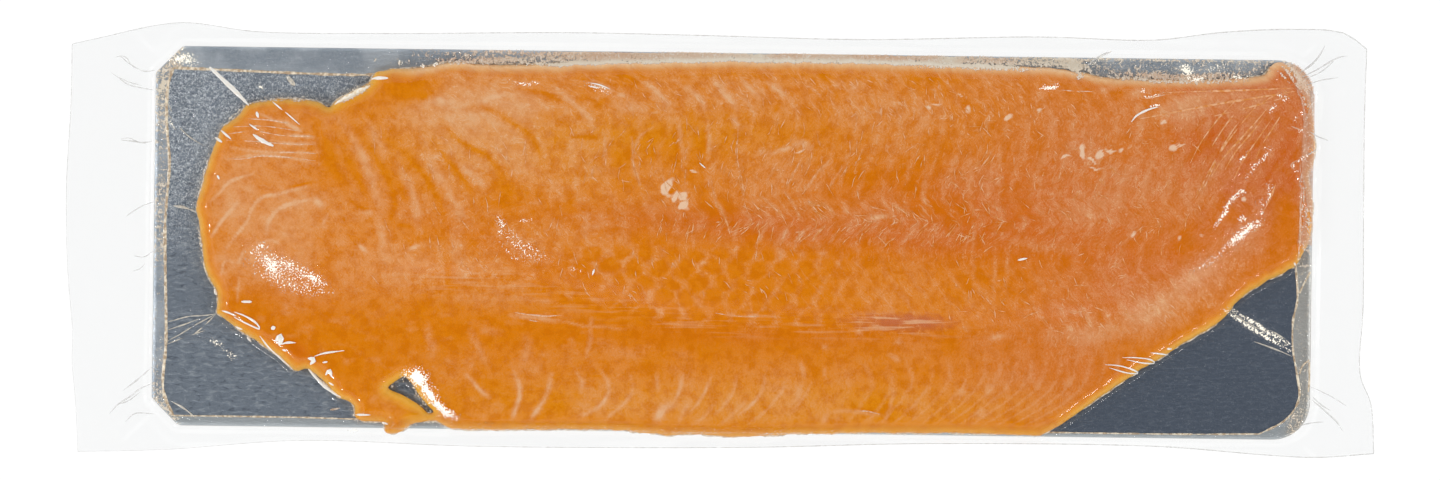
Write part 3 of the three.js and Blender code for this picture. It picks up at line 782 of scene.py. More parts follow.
# Broad zones, as (strength, x, y, radii along and across, turn).
MILKY = [
    (0.26, -114, 67, 30, 9, -4), (0.22, -128, 56, 34, 12, -8), (0.2, -105, 48, 26, 22, 0),
    (0.26, -234, 14, 11, 20, 0), (0.26, -212, 12, 20, 14, 0), (0.14, -220, 45, 20, 13, 0),
    (0.2, -222, -14, 24, 13, 0), (0.13, -148, -14, 56, 17, 0), (0.1, -10, 68, 70, 9, 0),
    (0.1, 40, 44, 26, 8, 0), (0.12, 205, 30, 44, 22, 0), (0.24, 205, -32, 32, 10, 26),
    (0.18, 246, -2, 30, 8, 42), (0.3, 236, 70, 40, 9, 12), (0.06, 178, 46, 46, 26, 0),
    (0.09, 185, -16, 50, 22, 12), (0.14, 252, 44, 18, 30, -35), (0.5, 283, 34, 3, 34, 0),
    (0.1, 132, -72, 80, 16, 0), (0.06, 0, -78, 60, 14, 0), (0.12, 100, 62, 70, 14, 0),
    (0.12, 60, 10, 40, 12, 0), (0.07, 150, 20, 60, 30, 0), (0.06, 0, 38, 70, 24, 0),
    (0.1, -146, 34, 46, 26, 0), (0.08, 233, 24, 18, 14, 0), (0.16, 222, -34, 30, 6, 33),
]
GLASSY = [
    (1, -157, 75, 14, 7, -12), (0.8, -140, -48, 60, 13, -4), (0.9, -55, -46, 76, 9, -4),
    (0.9, -185, -60, 30, 18, -30), (0.5, -12, -20, 44, 13, 0), (0.7, 130, -6, 50, 9, 0),
    (0.9, -188, 66, 14, 5, 0), (0.5, 30, 50, 60, 7, 0), (0.6, -228, -33, 14, 8, -30),
    (0.5, 245, 30, 5, 34, -38), (0.1, 275, 20, 8, 22, 0), (0.4, 60, -50, 60, 8, 0),
    (1.1, -107, 20, 12, 9, 0), (0.7, -158, 40, 8, 24, 30), (0.5, -210, -52, 16, 7, -38),
    (0.6, -110, -76, 22, 8, 0), (0.3, -58, -30, 16, 8, 0), (0.5, 262, -12, 20, 6, 32),
    (0.3, -9, -58, 20, 8, 0),
]
RUDDY = [
    (0.9, 20, 7, 90, 9, -3), (0.8, 120, 14, 90, 22, -5), (0.8, 175, 40, 60, 44, 0),
    (1, 262, 50, 40, 50, 0), (0.4, -105, -4, 50, 7, -18), (0.35, 20, -46, 90, 6, 0),
    (0.25, -210, -26, 30, 14, 0), (0.3, 190, -18, 60, 20, 20), (0.5, 170, -72, 56, 22, 0),
    (0.55, 200, -30, 70, 26, 20), (0.5, 250, 60, 40, 30, 0), (0.8, -204, -56, 8, 4, -38),
]
GOLDEN = [
    (0.9, -30, -80, 130, 12, 0), (0.7, 80, -80, 90, 12, 0), (0.8, -20, 52, 60, 10, 0),
    (0.7, -130, 50, 50, 22, 0), (0.5, 0, 84, 110, 5, 0), (0.5, -70, 40, 30, 20, 0),
]

FLECKED = [
    (1, 40, 72, 90, 12, 0), (0.9, 120, 68, 40, 14, 0), (0.8, 190, 47, 22, 8, 0), (0.5, 150, 25, 70, 26, 0),
    (0.7, 100, 2, 50, 12, 0), (0.9, 190, -34, 44, 12, 20), (0.5, 60, 40, 60, 14, 0),
    (0.35, -60, 66, 30, 12, 0), (0.3, -60, 10, 40, 20, 0), (0.5, 230, 70, 30, 12, 0),
    (0.3, -128, 40, 30, 20, 0),
]

plan = corners_of(salmon)[:, :2]
px, py = plan.T
edge = inside_flesh(plan)
sway = drift(px, py, 13, 2, 21) - 0.5
shiver = drift(px, py, 4.5, 2, 25) - 0.5
patchy = drift(px, py, 16, 3, 31)
ragged = plan + 1.8 * jitter(px, py, 7, 3, 41, 45)


def zones(spots):
    """The sum of the soft spots at every point of the flesh."""
    return sum(strength * bump_at(px, py, *spot) for strength, *spot in spots)


seam = back_seams(px, py) + 0.3 * sway + 0.25 * shiver
below = seam_line(px) - py + 4 * sway
in_back = smooth((5 - below) / 9)
middle = in_back * smooth((px + 100) / 40) * smooth((262 - px) / 60)
on_seam = np.abs(seam % 1 - 0.5) * 2

# Below the middle of the back the haze is a net, with clear round meshes in rows that are staggered.
MESH_WIDE = 12.5
MESH_HIGH = 15
netted = in_back * smooth((px + 88) / 24) * smooth((84 - px) / 50)
netted *= smooth((2 - py) / 9) * smooth((py + 46) / 8)
column = np.interp(px, [-104, -29, 0, 30, 90], [-6, 0, 2.35, 5, 11]) + 0.45 * sway + 0.3 * shiver
row = (py + 13.6) / MESH_HIGH + 0.3 * sway + 0.25 * shiver
from_mesh = np.minimum(
    np.hypot(((column + 0.5) % 1 - 0.5) * MESH_WIDE, ((row + 0.5) % 1 - 0.5) * MESH_HIGH),
    np.hypot(((column + 0.12) % 1 - 0.5) * MESH_WIDE, (row % 1 - 0.5) * MESH_HIGH),
)
cell = smooth((5.4 - from_mesh) / 2.4)
rib = belly_seams(px, py) + 0.25 * sway + 0.1 * shiver
ribbed = smooth((below - 10) / 10) * smooth((px - 52) / 24) * smooth(edge / 4)

# How much haze lies over the flesh: broad zones, then seams and patches, and less of it near the edge.
haze = 0.09 + zones(MILKY) + 0.34 * (patchy - 0.5)
haze += middle * (0.11 * smooth((on_seam - 0.5) / 0.5) - 0.04) * (0.1 + 1.8 * drift(px, py, 11, 2, 55))
haze += 0.17 * ribbed * (smooth((np.abs(rib % 1 - 0.5) * 2 - 0.55) / 0.4) - 0.35)
haze *= 1 - np.clip(zones(GLASSY) * (0.6 + 0.8 * patchy), 0, 1)
haze += 0.45 * np.clip(drift(px, 1.6 * py, 6, 3, 69) - 0.55, 0, 1) * smooth((-20 - px) / 60)
haze += 0.13 * netted * (1 - cell) + 1.15 * drawn(ragged, PALE_PATCHES)
haze *= 1 - 0.9 * netted * cell
clear = drawn(ragged, scaled(CLEAR_PATCHES, 1.2))
haze *= 1 - np.clip(clear * (1.05 + 0.3 * drift(px, py, 5, 2, 57)), 0, 1)
fine_lines = scaled(BELLY_SEAMS, 1.4, 1.05) + scaled(LOBE_SEAMS, 1.4, 2.5)
fine_seams = drawn(plan + 0.3 * (ragged - plan), fine_lines)
haze += fine_seams * (0.5 + 0.9 * drift(px, py, 6, 2, 59))
haze *= smooth((edge - 1.5) / 7) * 0.7 + 0.3
fan = drift(0.83 * px - 0.55 * py, 0.05 * (0.55 * px + 0.83 * py), 2.6, 2, 63) - 0.5
haze += 0.4 * fan * bump_at(px, py, 250, 44, 26, 32, 0)
store(salmon, "edge", edge)
store(salmon, "tones", np.column_stack([
    np.clip(haze, 0, 0.9),
    np.clip(zones(RUDDY) * (0.6 + 0.8 * patchy), 0, 1),
    np.clip(zones(GOLDEN), 0, 1),
]))
store(salmon, "fibre", np.column_stack([
    seam,
    middle * np.clip(1.8 * drift(px, py, 9, 2, 51) - 0.6, 0, 1) * (0.3 + 0.7 * smooth((130 - px) / 60)),
    np.clip(smooth((px + 200) / 90) * in_back * (1 - 0.9 * netted * cell) + 0.35, 0, 1) * smooth(edge / 6),
]))
store(salmon, "marks", np.column_stack([
    drawn(ragged + 1.6 * jitter(px, py, 2.4, 2, 65, 67), scaled(FAT, 1.2)),
    np.clip(zones(FLECKED) * (0.3 + 1.4 * drift(px, py, 9, 2, 61)), 0, 1) * (1 - 0.8 * netted),
    smooth((9 - np.abs(below + 1)) / 7) * smooth((px + 175) / 50) * smooth((150 - px) / 90),
]))

flesh = Finish("smoked salmon flesh")
at = flesh.place()
x, y, _ = at.parts()
edge = flesh.field("edge")
haze, ruddy, golden = flesh.fields("tones")
seam, seam_share, web_share = flesh.fields("fibre")
fat, crumb_share, gristle = flesh.fields("marks")
mottle = flesh.noise(at, 6, 3, 0.62)
fine = flesh.noise(at, 0.9, 1, 0.6)
streaks = flesh.noise(flesh.stretched(at, 0.07, 1.0), 2.0, 2, 0.55)
along = flesh.vector(seam * 12, y * 0.6)
wisps = flesh.noise(along, 2.6, 3, 0.62, 1.0)
frost = flesh.web(along, 3.0)

# Threads of fat: along the seams, in a web between them, and in flecks, but no web beside the notch.
by_notch = (((x + 172) / 30) ** 2.0 + ((y - 71) / 13) ** 2.0).rise(1.3, 0.6)
gate = mottle.rise(0.42, 0.6)
thread = abs(seam.fract() - 0.5).rise(0.44, 0.5) * seam_share * wisps.rise(0.42, 0.6)
web = abs(wisps - 0.5).rise(0.03, 0) * web_share * gate * (1 - by_notch)
flecks = (frost.rise(1.0, 1.5) * gate + wisps.rise(0.6, 0.7) * 0.8) * crumb_share
lively = (0.2 + 4 * haze).least(1)
milk = haze + (mottle - 0.5) * (0.12 + 0.7 * haze) * (1 - 0.4 * x.rise(90, 190)) * (0.5 + lively)
milk = milk + ((wisps - 0.5) * 0.4 + (fine - 0.5) * 0.34) * lively
milk = milk + thread * 0.24 + web * 0.55 * lively + flecks * 0.5
milk = milk + gristle * (streaks.rise(0.48, 0.75) * 0.3 - 0.05)
color = flesh.tint(srgb(219, 126, 6), srgb(207, 102, 12), ruddy)
color = flesh.tint(color, srgb(223, 138, 10), golden * 0.8)
color = flesh.tint(color, srgb(196, 84, 16), ruddy.rise(0.6, 1) * x.rise(205, 250) * y.rise(-10, 20) * 0.6)
color = flesh.tint(color, srgb(203, 106, 0), mottle.rise(0.56, 0.36) * 0.45)
color = flesh.tint(color, srgb(196, 98, 6), (gristle * streaks.rise(0.44, 0.30) * 0.3).clamped())

# One bruise beside the seam between back and belly.
bruise = (((x - 88) / 32) ** 2.0 + ((y + 38.4) / 5.4) ** 2.0 + mottle * 1.4).rise(1.9, 0.6)
color = flesh.tint(color, srgb(184, 97, 66), bruise * 0.65)
milk = (milk + bruise * (streaks.rise(0.5, 0.62) - 0.25) * 0.6).clamped()
color = flesh.tint(color, srgb(228, 178, 134), milk)
color = flesh.tint(color, srgb(238, 208, 178), (fat * (0.5 + mottle)).rise(0.35, 0.75) * 0.8)

# The trimmed edge: the flesh is glassy and golden where it gets thin.
by_tear = (((x + 148) / 20) ** 2.0 + ((y + 77) / 13) ** 2.0).rise(1.2, 0.5)
rim = edge.rise(6.5, 0.8) * (2.4 * mottle - 0.5).clamped() * (1 - 0.7 * x.rise(262, 272) * y.rise(-8, 4))
rim = rim * (1 - 0.8 * x.rise(-135, -110) * y.rise(50, 70))
color = flesh.tint(color, srgb(226, 142, 6), rim.clamped())
color = flesh.tint(color, srgb(236, 168, 34), edge.rise(7, 0.8) * by_tear * (0.5 + mottle).clamped())
notch_rim = edge.rise(7.5, 1) * by_notch * x.rise(-160, -172) * (0.9 + mottle).clamped()
color = flesh.tint(color, srgb(231, 160, 26), notch_rim)
color = flesh.tint(color, srgb(190, 112, 26), edge.rise(6, 2) * y.rise(-82, -89) * 0.4)
# A pale cream rim along the cut: partly the thin edge of the flesh, partly a painted highlight of the film
# bending over it; along the back it is wider, painted light on an edge that slopes away from the lamps.
along_back = y.rise(66, 78) * x.rise(-170, -145)
pale_rim_and_sheen = edge.rise(3.6, 0).most(edge.rise(5.4, 0.6) * along_back) * (0.3 + 0.7 * wisps).clamped()
pale_rim_and_sheen = pale_rim_and_sheen * (1 - 0.45 * y.rise(-80, -88))
color = flesh.tint(color, flesh.tint(srgb(238, 188, 88), srgb(242, 204, 152), along_back), pale_rim_and_sheen)

UNDER_FILM = {"Roughness": 0.5, "Specular IOR Level": 0.03}  # it is the film that shines
salmon.data.materials.clear()
salmon.data.materials.append(flesh.skin({"Base Color": color, "Normal": flesh.bump(fine, 0.1), **UNDER_FILM}))

# Thin threads of fat lie in the flesh. The plainest are placed, and short ones are strewn along the seams.
THREAD_ZONES = [  # how many, middle, reach along and across, length
    (130, 60, 12, 90, 9, 6.5), (170, 30, 42, 100, 18, 6), (130, 60, 71, 115, 9, 4), (170, 170, 28, 62, 38, 5),
    (90, 165, -28, 55, 14, 4.5), (60, -120, 20, 50, 38, 8), (50, -20, -15, 60, 12, 5),
]
FAN_CREASES = [  # from the upper right corner down to the left: width, line
    (0.9, [[270, 75.5], [265.5, 73], [260.5, 70]]),
    (0.8, [[259.5, 70.5], [251, 60], [241.5, 47], [236, 35.5], [232, 25.5]]),
    (0.7, [[256.5, 69.5], [247, 57], [238.5, 42.5], [229, 23.5]]),
    (0.8, [[264.5, 69], [258, 61], [251, 53], [242.5, 43.5], [236, 33.5]]),
    (0.8, [[261, 62], [254.5, 54], [248, 46], [243, 37.5]]),
    (0.6, [[266, 63], [259.5, 53.5], [254, 45.5], [249, 36.5], [246, 29]]),
    (0.6, [[253, 71], [245, 61.5], [238, 51], [231.5, 38.5]]),
    (0.7, [[271, 66], [265.5, 57], [261, 50], [257.5, 41.5]]),
    (0.6, [[249, 72], [240, 62.5], [231, 50], [226, 40]]),
    (1.1, [[268, 31.5], [266, 26], [263, 19.5], [260.5, 14.5]]),
    (1, [[277, 76], [258, 72.5], [238, 69], [216, 64.5], [199, 61]]),
    (0.9, [[277.5, 77.5], [250, 76], [225, 75], [209, 74]]),
    (0.7, [[276, 74], [262, 70], [248, 66], [236, 63]]),
]
draw = np.random.default_rng(17)


def seam_threads(count, cx, cy, rx, ry, length):
    """Lines that start within a zone and run along the seams, each a little askew."""
    line = [np.array([cx, cy]) + draw.uniform(-1, 1, (count, 2)) * (rx, ry)]
    askew = draw.normal(0, 0.4 + 0.5 * (cx > 100), count)
    reach = length * draw.uniform(0.5, 1.3, count) / 4
    for _ in range(4):
        x, y = line[-1].T
        here = back_seams(x, y)
        heading = np.arctan2(here - back_seams(x + 1, y), back_seams(x, y + 1) - here)
        heading += askew + draw.normal(0, 0.12, count)
        line.append(line[-1] + np.column_stack([np.cos(heading), np.sin(heading)]) * reach[:, None])
    return list(np.stack(line, 1))


STRIP_STEP = 1.1
LONGEST_GIVEN = 60  # a line with more points is a curve already


def strips(name, lines, height_at, swell, seed, breaks, taper=True):
    """Thin strips laid along lines, each given as (width, points): raised along the middle, of uneven
    width, broken where breaks is above 0, and pointed at the ends."""
    corners, faces, first = [], [], 0
    for width, line in lines:
        run = np.hypot(*np.diff(np.array(line, float), axis=0).T).sum()
        count = max(5, int(run / STRIP_STEP))
        path = evenly(line, count) if len(line) > LONGEST_GIVEN else curve_through(line, count)
        across = -right_of(np.gradient(path, axis=0))
        half = 0.5 * width * (0.55 + 0.9 * drift(*path.T, 2.6, 2, seed))
        half *= np.clip((drift(*path.T, 5, 2, seed + 9) - breaks) / 0.12, 0.02, 1)
        if taper:
            half *= np.sin(np.pi * np.clip(np.linspace(0, 1, count + 1), 0.02, 0.98)) ** 0.5
        for side in (-1, 0, 1):
            z = height_at(path) + swell * half * (2 - 2 * abs(side))
            corners.append(np.column_stack([path + across * half[:, None] * side, z]))
        k = first + np.arange(count)
        n = count + 1
        for row in (0, n):
            faces += np.column_stack([k + row, k + row + 1, k + row + n + 1, k + row + n]).tolist()
        first += 3 * n
    return mesh_piece(name, np.vstack(corners), faces)


strewn = [line for zone in THREAD_ZONES for line in seam_threads(*zone)]
inner = signed_distance(np.vstack(strewn), salmon_outline).reshape(len(strewn), -1).max(1) < -3
fat_lines = [(0.42, line) for line, held in zip(strewn, inner) if held]
fat_lines += [(0.5, line) for width, _, line in PALE_PATCHES if width <= 0.6 and line[0][1] > -10]
surface = tree_of(flat)


def on_flesh(path):
    """A hair above the flesh."""
    return height[nearest_in(surface, path)[0]] + 0.1


threads = strips("fat_threads", fat_lines + FAN_CREASES, on_flesh, 0, 47, 0.3)
fat_skin = Finish("fat threads")
thick = fat_skin.noise(fat_skin.place(), 2.5, 1)
tone = fat_skin.tint(srgb(218, 140, 72), srgb(234, 182, 140), thick.rise(0.35, 0.7))
threads.data.materials.append(fat_skin.skin({"Base Color": tone, **UNDER_FILM}))
for piece in (salmon, threads):
    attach(piece, "root")
    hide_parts("salmon")


# ---- The bag's sheets ------------------------------------------------------------------------------
# Two sheets of thin clear film, welded to each other in a wide flat margin. The air is drawn out, so the
# upper sheet clings to flesh and foil, leaves the board just inside its edge and meets the lower one.

BAG_SIDES = [
    [[-310.5, -106.5], [-268, -105], [-204, -99.8], [-116, -101.5], [10, -100.4], [103, -97.3], [214, -97.3],
     [262, -100.5], [289, -101.6], [318, -99.3]],
    [[-316, 91.5], [-302, 94.8], [-264, 102.6], [-227, 98.7], [-167, 98.6], [-72, 100.2], [-11, 99.7],
     [67, 98.7], [153, 101.1], [209, 100.3], [241, 104.4], [276, 106.4], [301, 104.7], [312, 97]],
    [[-310.5, -106.5], [-312.2, -82], [-314.2, -62], [-314, -50], [-317, -16], [-318, 22], [-316.3, 62],
     [-316, 91.5]],
    [[318, -99.3], [316.3, -75], [311, -61], [312, -28], [311.6, 14], [311.5, 66], [312, 97]],
]
UPPER_CELLS = (740, 250)
LOWER_CELLS = (220, 74)
WELD_AT_ENDS = 38  # how wide it is there, and along the sides
WELD_AT_SIDES = 9
WELD_HEIGHT = 2.4
WELD_OUT = 3.4  # beyond the board's edge
WAVE = 1.6
CORNER_CURL = 3.5
SHEETS_APART = 0.2  # in the weld
UNDERSIDE = 0.05  # height of the lower sheet under the board
CELL = 0.8  # of the raster on which the film is drawn down
RASTER_EDGE = 2
CLEAR = 0.3  # the film's distance from what it clings to
PULL = 0.14  # how hard it is drawn down, per step
PULLS = 500
CRINKLE_HEIGHT = 0.75  # just inside the edge of the flesh

bag_low, bag_high = (np.array(corner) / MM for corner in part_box("bag"))
ras_x, ras_y = (np.arange(bag_low[k] - RASTER_EDGE, bag_high[k] + RASTER_EDGE, CELL) for k in (0, 1))
shape = (len(ras_x), len(ras_y))
gx, gy = (g.ravel() for g in np.meshgrid(ras_x, ras_y, indexing="ij"))
raster = np.column_stack([gx, gy])
from_board = signed_distance(raster, evenly(closed(*board_sides(0)), 1200))
from_flesh = -inside_flesh(raster)


def margin_height(x, y, out):
    """Height of the weld beside the board, at a distance out from it."""
    room = np.where(np.abs(x) - 280 > np.abs(y) - 92, WELD_AT_ENDS, WELD_AT_SIDES)
    t = np.clip(out / room, 0, 1)
    waves = 0.5 + 0.3 * np.sin(x / 23 + y / 17) + 0.2 * np.sin(x / 9.5 - y / 13 + 1.3)
    corner = smooth((np.abs(x) - 265) / 60) * smooth((np.abs(y) - 62) / 50)
    lift = mix(0.3, 1, smooth(room / 34)) * WAVE * waves * np.sin(np.pi * np.minimum(t, 0.8)) ** 1.2
    return mix(0.5, WELD_HEIGHT, (1 - t) ** 1.6) + lift + CORNER_CURL * corner * t**1.5


def around(film):
    """The mean of the four neighbours of each inner point of a raster."""
    return 0.25 * (film[2:, 1:-1] + film[:-2, 1:-1] + film[1:-1, 2:] + film[1:-1, :-2])


out = from_board - WELD_OUT
margin = margin_height(gx, gy, np.clip(out, 0, None))
support = np.where(from_board < 0.3, board_top + CLEAR, 0)
flesh_top = salmon_base + flesh_height(gx, gy, np.clip(-from_flesh, 0, None)) + CLEAR
support = np.where(from_flesh < 0.5, np.maximum(support, flesh_top), support)
crinkled = bump_at(from_flesh, 0, -3.5, 0, 5, 1) * (drift(gx, gy, 5.5, 2, 61) - 0.25)
support += np.clip(CRINKLE_HEIGHT * crinkled, 0, None)
support, margin, out = support.reshape(shape), margin.reshape(shape), out.reshape(shape)
fixed = out > 0
film = np.where(fixed, margin, np.maximum(support, WELD_HEIGHT))
for _ in range(PULLS):
    film[1:-1, 1:-1] = around(film) - PULL
    film = np.where(fixed, margin, np.maximum(film, support))
for _ in range(2):
    film[1:-1, 1:-1] = 0.5 * film[1:-1, 1:-1] + 0.5 * around(film)


def on_raster(values, points):
    """A raster's values at points between its cells."""
    values = values.reshape(shape)
    i = np.clip((points[:, 0] - ras_x[0]) / CELL, 0, shape[0] - 1.001)
    j = np.clip((points[:, 1] - ras_y[0]) / CELL, 0, shape[1] - 1.001)
    i0, j0 = i.astype(int), j.astype(int)
    fi, fj = i - i0, j - j0
    low = mix(values[i0, j0], values[i0 + 1, j0], fi)
    high = mix(values[i0, j0 + 1], values[i0 + 1, j0 + 1], fi)
    return mix(low, high, fj)


# Where juice clouds the film: how thick the veil is along the board's upper, left and right edge, as
# (place along the edge, thickness).
VEIL_TOP = [[-175, 0], [-150, 0.3], [-120, 0.5], [-95, 0.55], [-60, 0.85], [60, 0.9], [95, 0.85], [112, 0.95],
            [120, 0.7], [160, 0.65], [168, 0.85], [180, 0.4], [258, 0.4], [266, 0.55], [272, 0.8]]
VEIL_LEFT = [[-90, 0.6], [-72, 0.45], [-55, 0.3], [-20, 0.3], [-8, 0.5], [10, 0.45], [20, 0.5], [35, 0.35],
             [55, 0.5], [82, 0.6]]
VEIL_RIGHT = [[-92, 0.5], [-60, 0.3], [-20, 0.25], [-10, 0.4], [30, 0.36], [90, 0.4]]
# White glare of crinkled film, which is painted on as white colour with a faint glow, and cream
# crumples of it, as (half width, strength, line).
GLARE = [
    (3.8, 1.45, [[-150, -67], [-146.5, -68], [-143, -72]]),
    (2.6, 1.3, [[-144.5, -70.5], [-141, -75.5], [-137, -79.5]]),
    (1.9, 1.2, [[-140, -77.5], [-136, -81], [-132, -84.5], [-127, -87]]),
    (5, 0.4, [[-148, -68], [-142, -74], [-135, -80]]),
    (3.6, 0.62, [[-227.5, -8.5], [-219.5, -11.5], [-209, -16], [-193, -21.5]]),
    (2.6, 1, [[-222.5, -9.5], [-217.5, -15], [-213.5, -21]]), (1.6, 0.8, [[-212, -12], [-204, -15]]),
    (2.2, 0.9, [[-201, -18], [-195, -22], [-191.5, -23.5]]),
    (4.5, 0.4, [[-228.5, -13.5], [-209, -23], [-187, -27.5]]),
    (1.5, 0.7, [[-224.5, -7.5], [-222.5, -5.5], [-219.5, -6]]),
    (1.8, 0.5, [[-108.5, 10.5], [-106, 6], [-107, 1]]),
    (1, 0.45, [[-107, -2.5], [-101.5, -8.5], [-92.5, -11.5]]),
    (1.1, 0.5, [[-98.5, -1], [-90, -5.5], [-82.5, -11]]), (0.9, 0.55, [[-97.5, 8], [-90.5, 9]]),
    (4, 0.3, [[-107.5, 6], [-97.5, -3.5], [-85, -11.5]]), (1, 0.4, [[-73, -14], [-66, -16]]),
    (0.9, 0.7, [[-104.5, 76.5], [-98.5, 74.5], [-89, 75]]),
    (0.8, 0.45, [[-66.5, 75.5], [-60.5, 74], [-55, 72]]),
    (1.6, 0.3, [[-70.5, 76], [-59.5, 72.5], [-51, 70]]),
    (1.1, 0.62, [[265.5, 48.5], [261, 42.5], [256, 37.5], [254, 33.5]]),
    (0.9, 0.6, [[254, 46.5], [250, 41.5]]),
    (1.3, 0.8, [[252, 27], [246.5, 23], [242, 14.5], [238.5, 9.5]]),
    (0.7, 0.6, [[267, 31], [262, 19.5], [260, 13.5]]),
    (2, 0.98, [[261, 13.5], [255.5, 9.5], [249.5, 4.5], [244, -0.5]]),
    (1.6, 0.9, [[250.5, 13], [253, 14]]), (1.3, 0.85, [[249.5, 26], [253, 27]]),
    (1.5, 0.45, [[244, -0.5], [236.5, -7], [227.5, -12]]), (2, 0.4, [[258.5, 22.5], [262, 21]]),
    (1.8, 0.5, [[268, 73.5], [273, 72]]), (0.9, 0.6, [[267.5, 70], [264.5, 65]]),
    (0.7, 0.8, [[277, 57], [283.5, 56.5]]), (0.8, 0.6, [[276, 63.5], [278, 61.5]]),
    (0.6, 0.8, [[275, 39], [279, 42.5], [288.5, 47.5]]), (0.6, 0.6, [[276, 37], [279, 37.5]]),
    (1.1, 0.6, [[262.5, 48.5], [264.5, 47]]), (1.5, 0.5, [[263.5, 30], [265.5, 28]]),
    (2.4, 1.15, [[222.5, 87.5], [225, 85.5], [226.5, 83]]),
    (1.1, 1, [[226.5, 83], [230, 81.5], [233.5, 82.5]]),
    (1, 0.95, [[245, 84], [249.5, 82.5], [254.5, 82.5]]), (1.4, 0.5, [[235, 85], [239, 87.5], [243, 88]]),
    (1.2, 0.95, [[153.5, 76.5], [157.5, 76], [162, 77.5]]), (1, 0.6, [[160.5, 78], [162.5, 76.5]]),
    (0.9, 0.8, [[205.5, 66.5], [208, 67.5], [211, 68]]),
    (0.8, 0.5, [[202.5, 71.5], [208, 72.5], [214, 74]]), (1.3, 0.5, [[201.5, 75.5], [205, 74]]),
    (0.9, 0.7, [[178, 87.5], [182.5, 91.5], [187.5, 94.5]]),
    (2.9, 1, [[-266.5, 85], [-260.5, 84.5], [-255.5, 83.5]]), (1.2, 0.6, [[-263.5, 88], [-260.5, 90]]),
    (0.8, 1.4, [[243.5, -30], [252, -35.5], [263, -42], [276.5, -49.5]]),
    (0.8, 1.4, [[245.5, -29.5], [255, -34], [267, -41.5], [277.5, -47]]),
    (0.6, 0.9, [[248.5, -34], [258, -40], [270, -46.5]]),
    (1.5, 0.3, [[245, -30.5], [259.5, -39], [277.5, -49.5]]), (0.5, 0.6, [[-179.5, -95], [-174, -94]]),
    (1.6, 0.5, [[-248, -50.5], [-239.5, -55]]), (2.5, 0.45, [[-239.5, -56], [-234.5, -60]]),
    (0.8, 0.7, [[-270, 56], [-265, 51]]), (1, 0.5, [[-225, 74], [-223, 70]]),
    (0.9, 0.5, [[-204, 68.5], [-201, 67]]), (0.9, 0.9, [[-158, 85.5], [-156.5, 84.5], [-155.5, 83.5]]),
    (0.8, 0.8, [[-147, 83.5], [-145.5, 82]]), (0.8, 0.8, [[-140.5, 84.5], [-138.5, 83.5]]),
]
CRUMPLES = [
    (1.6, 1, [[-187.6, 64.7], [-182.6, 66.7], [-176.6, 69.2], [-170.6, 73.2]]),
    (0.7, 0.6, [[-227, 64.5], [-212.5, 65], [-196.5, 63.5]]),
    (0.8, 0.7, [[-240.5, 55], [-236, 59], [-231.5, 63.5]]), (0.8, 0.75, [[-169.5, 87], [-167.5, 84]]),
    (1.1, 0.95, [[-158, 85], [-156, 83]]), (1, 0.8, [[-147, 84], [-144.5, 82]]),
    (1.2, 0.7, [[-140.5, 84.5], [-134.5, 84]]),
    (2, 0.5, [[-137.5, 87], [-123, 87], [-98.5, 88], [-79.5, 88.5]]),
    (1.9, 0.85, [[-137.5, 84], [-123, 85.4], [-98.5, 86.5], [-79, 86.2]]),
    (3.2, 0.95, [[12, 88], [17, 89], [21.5, 87.5]]), (4, 0.95, [[104, 88], [109, 90], [114, 88]]),
    (1.8, 0.9, [[88, 86], [100, 86], [115, 86], [134, 85.5], [153.5, 84.5]]),
    (3.2, 0.95, [[167, 90], [170, 87], [173, 83]]), (2, 0.7, [[175, 84], [171, 81]]),
    (1.8, 0.7, [[122.5, 90], [126.5, 87.5]]), (3, 0.55, [[190.5, 90], [191.5, 85.5]]),
    (1.3, 1, [[174, 84.5], [185, 82.5], [197.5, 81], [216.5, 80], [236, 80], [250, 80.5]]),
    (1.4, 0.7, [[213, 87.5], [215.5, 82.5], [219.5, 80]]),
    (1.6, 0.6, [[229.5, 82], [241, 81], [255.5, 80.5]]),
    (0.8, 1, [[268, 90], [272.5, 86], [275.5, 81.5], [279.5, 77]]),
    (0.7, 1, [[270, 90.5], [276, 86.5], [280, 81.5], [282.5, 76]]),
    (0.7, 0.9, [[266.5, 87], [270.5, 84], [274, 79.5]]), (2, 0.62, [[273, 88], [279, 82], [283, 75]]),
    (0.9, 0.8, [[279, 76], [282, 71], [282.5, 65]]), (1.4, 0.7, [[283, 48.5], [286, 47]]),
    (1, 0.7, [[280.5, 35], [281.5, 23.5], [280.5, 9]]),
    (1.5, 0.7, [[282.5, 23.5], [283.5, 14.5], [285.5, 6]]),
    (2.6, 0.8, [[-273, 79], [-271.5, 72.5], [-273, 65.5]]),
    (1.8, 0.7, [[-270.5, 84], [-267.5, 88], [-263.5, 90.5]]),
    (1, 0.7, [[-269.5, 78.5], [-269.5, 64.5], [-271, 50]]),
]
TAN_FRINGE = [
    (2.3, 0.9, [[182, 84], [200, 83], [218, 82.4], [240, 83], [256, 84.4], [263, 86.4]]),
    (1.6, 0.7, [[-148, 84], [-138, 85.6], [-120, 86], [-100, 86.4]]),
]
# Where the film is crinkled, as (x, y, radii along and across, turn, strength).
CRINKLES = [
    (-216, -11, 17, 6, -30, 0.8), (-200, -17, 9, 5, -20, 0.6), (-256, -46, 14, 10, 0, 0.7),
    (-262, 88, 10, 4, 0, 1.0), (-222, 46, 9, 6, -20, 0.5), (252, 8, 16, 2.5, 55, 0.9),
    (236, -6, 18, 6, 50, 0.55), (264, -42, 22, 5, -32, 0.8), (250, 35, 16, 5, 52, 0.4),
    (230, 84, 40, 4, 0, 0.8), (-256, 60, 14, 22, 0, 0.35),
]

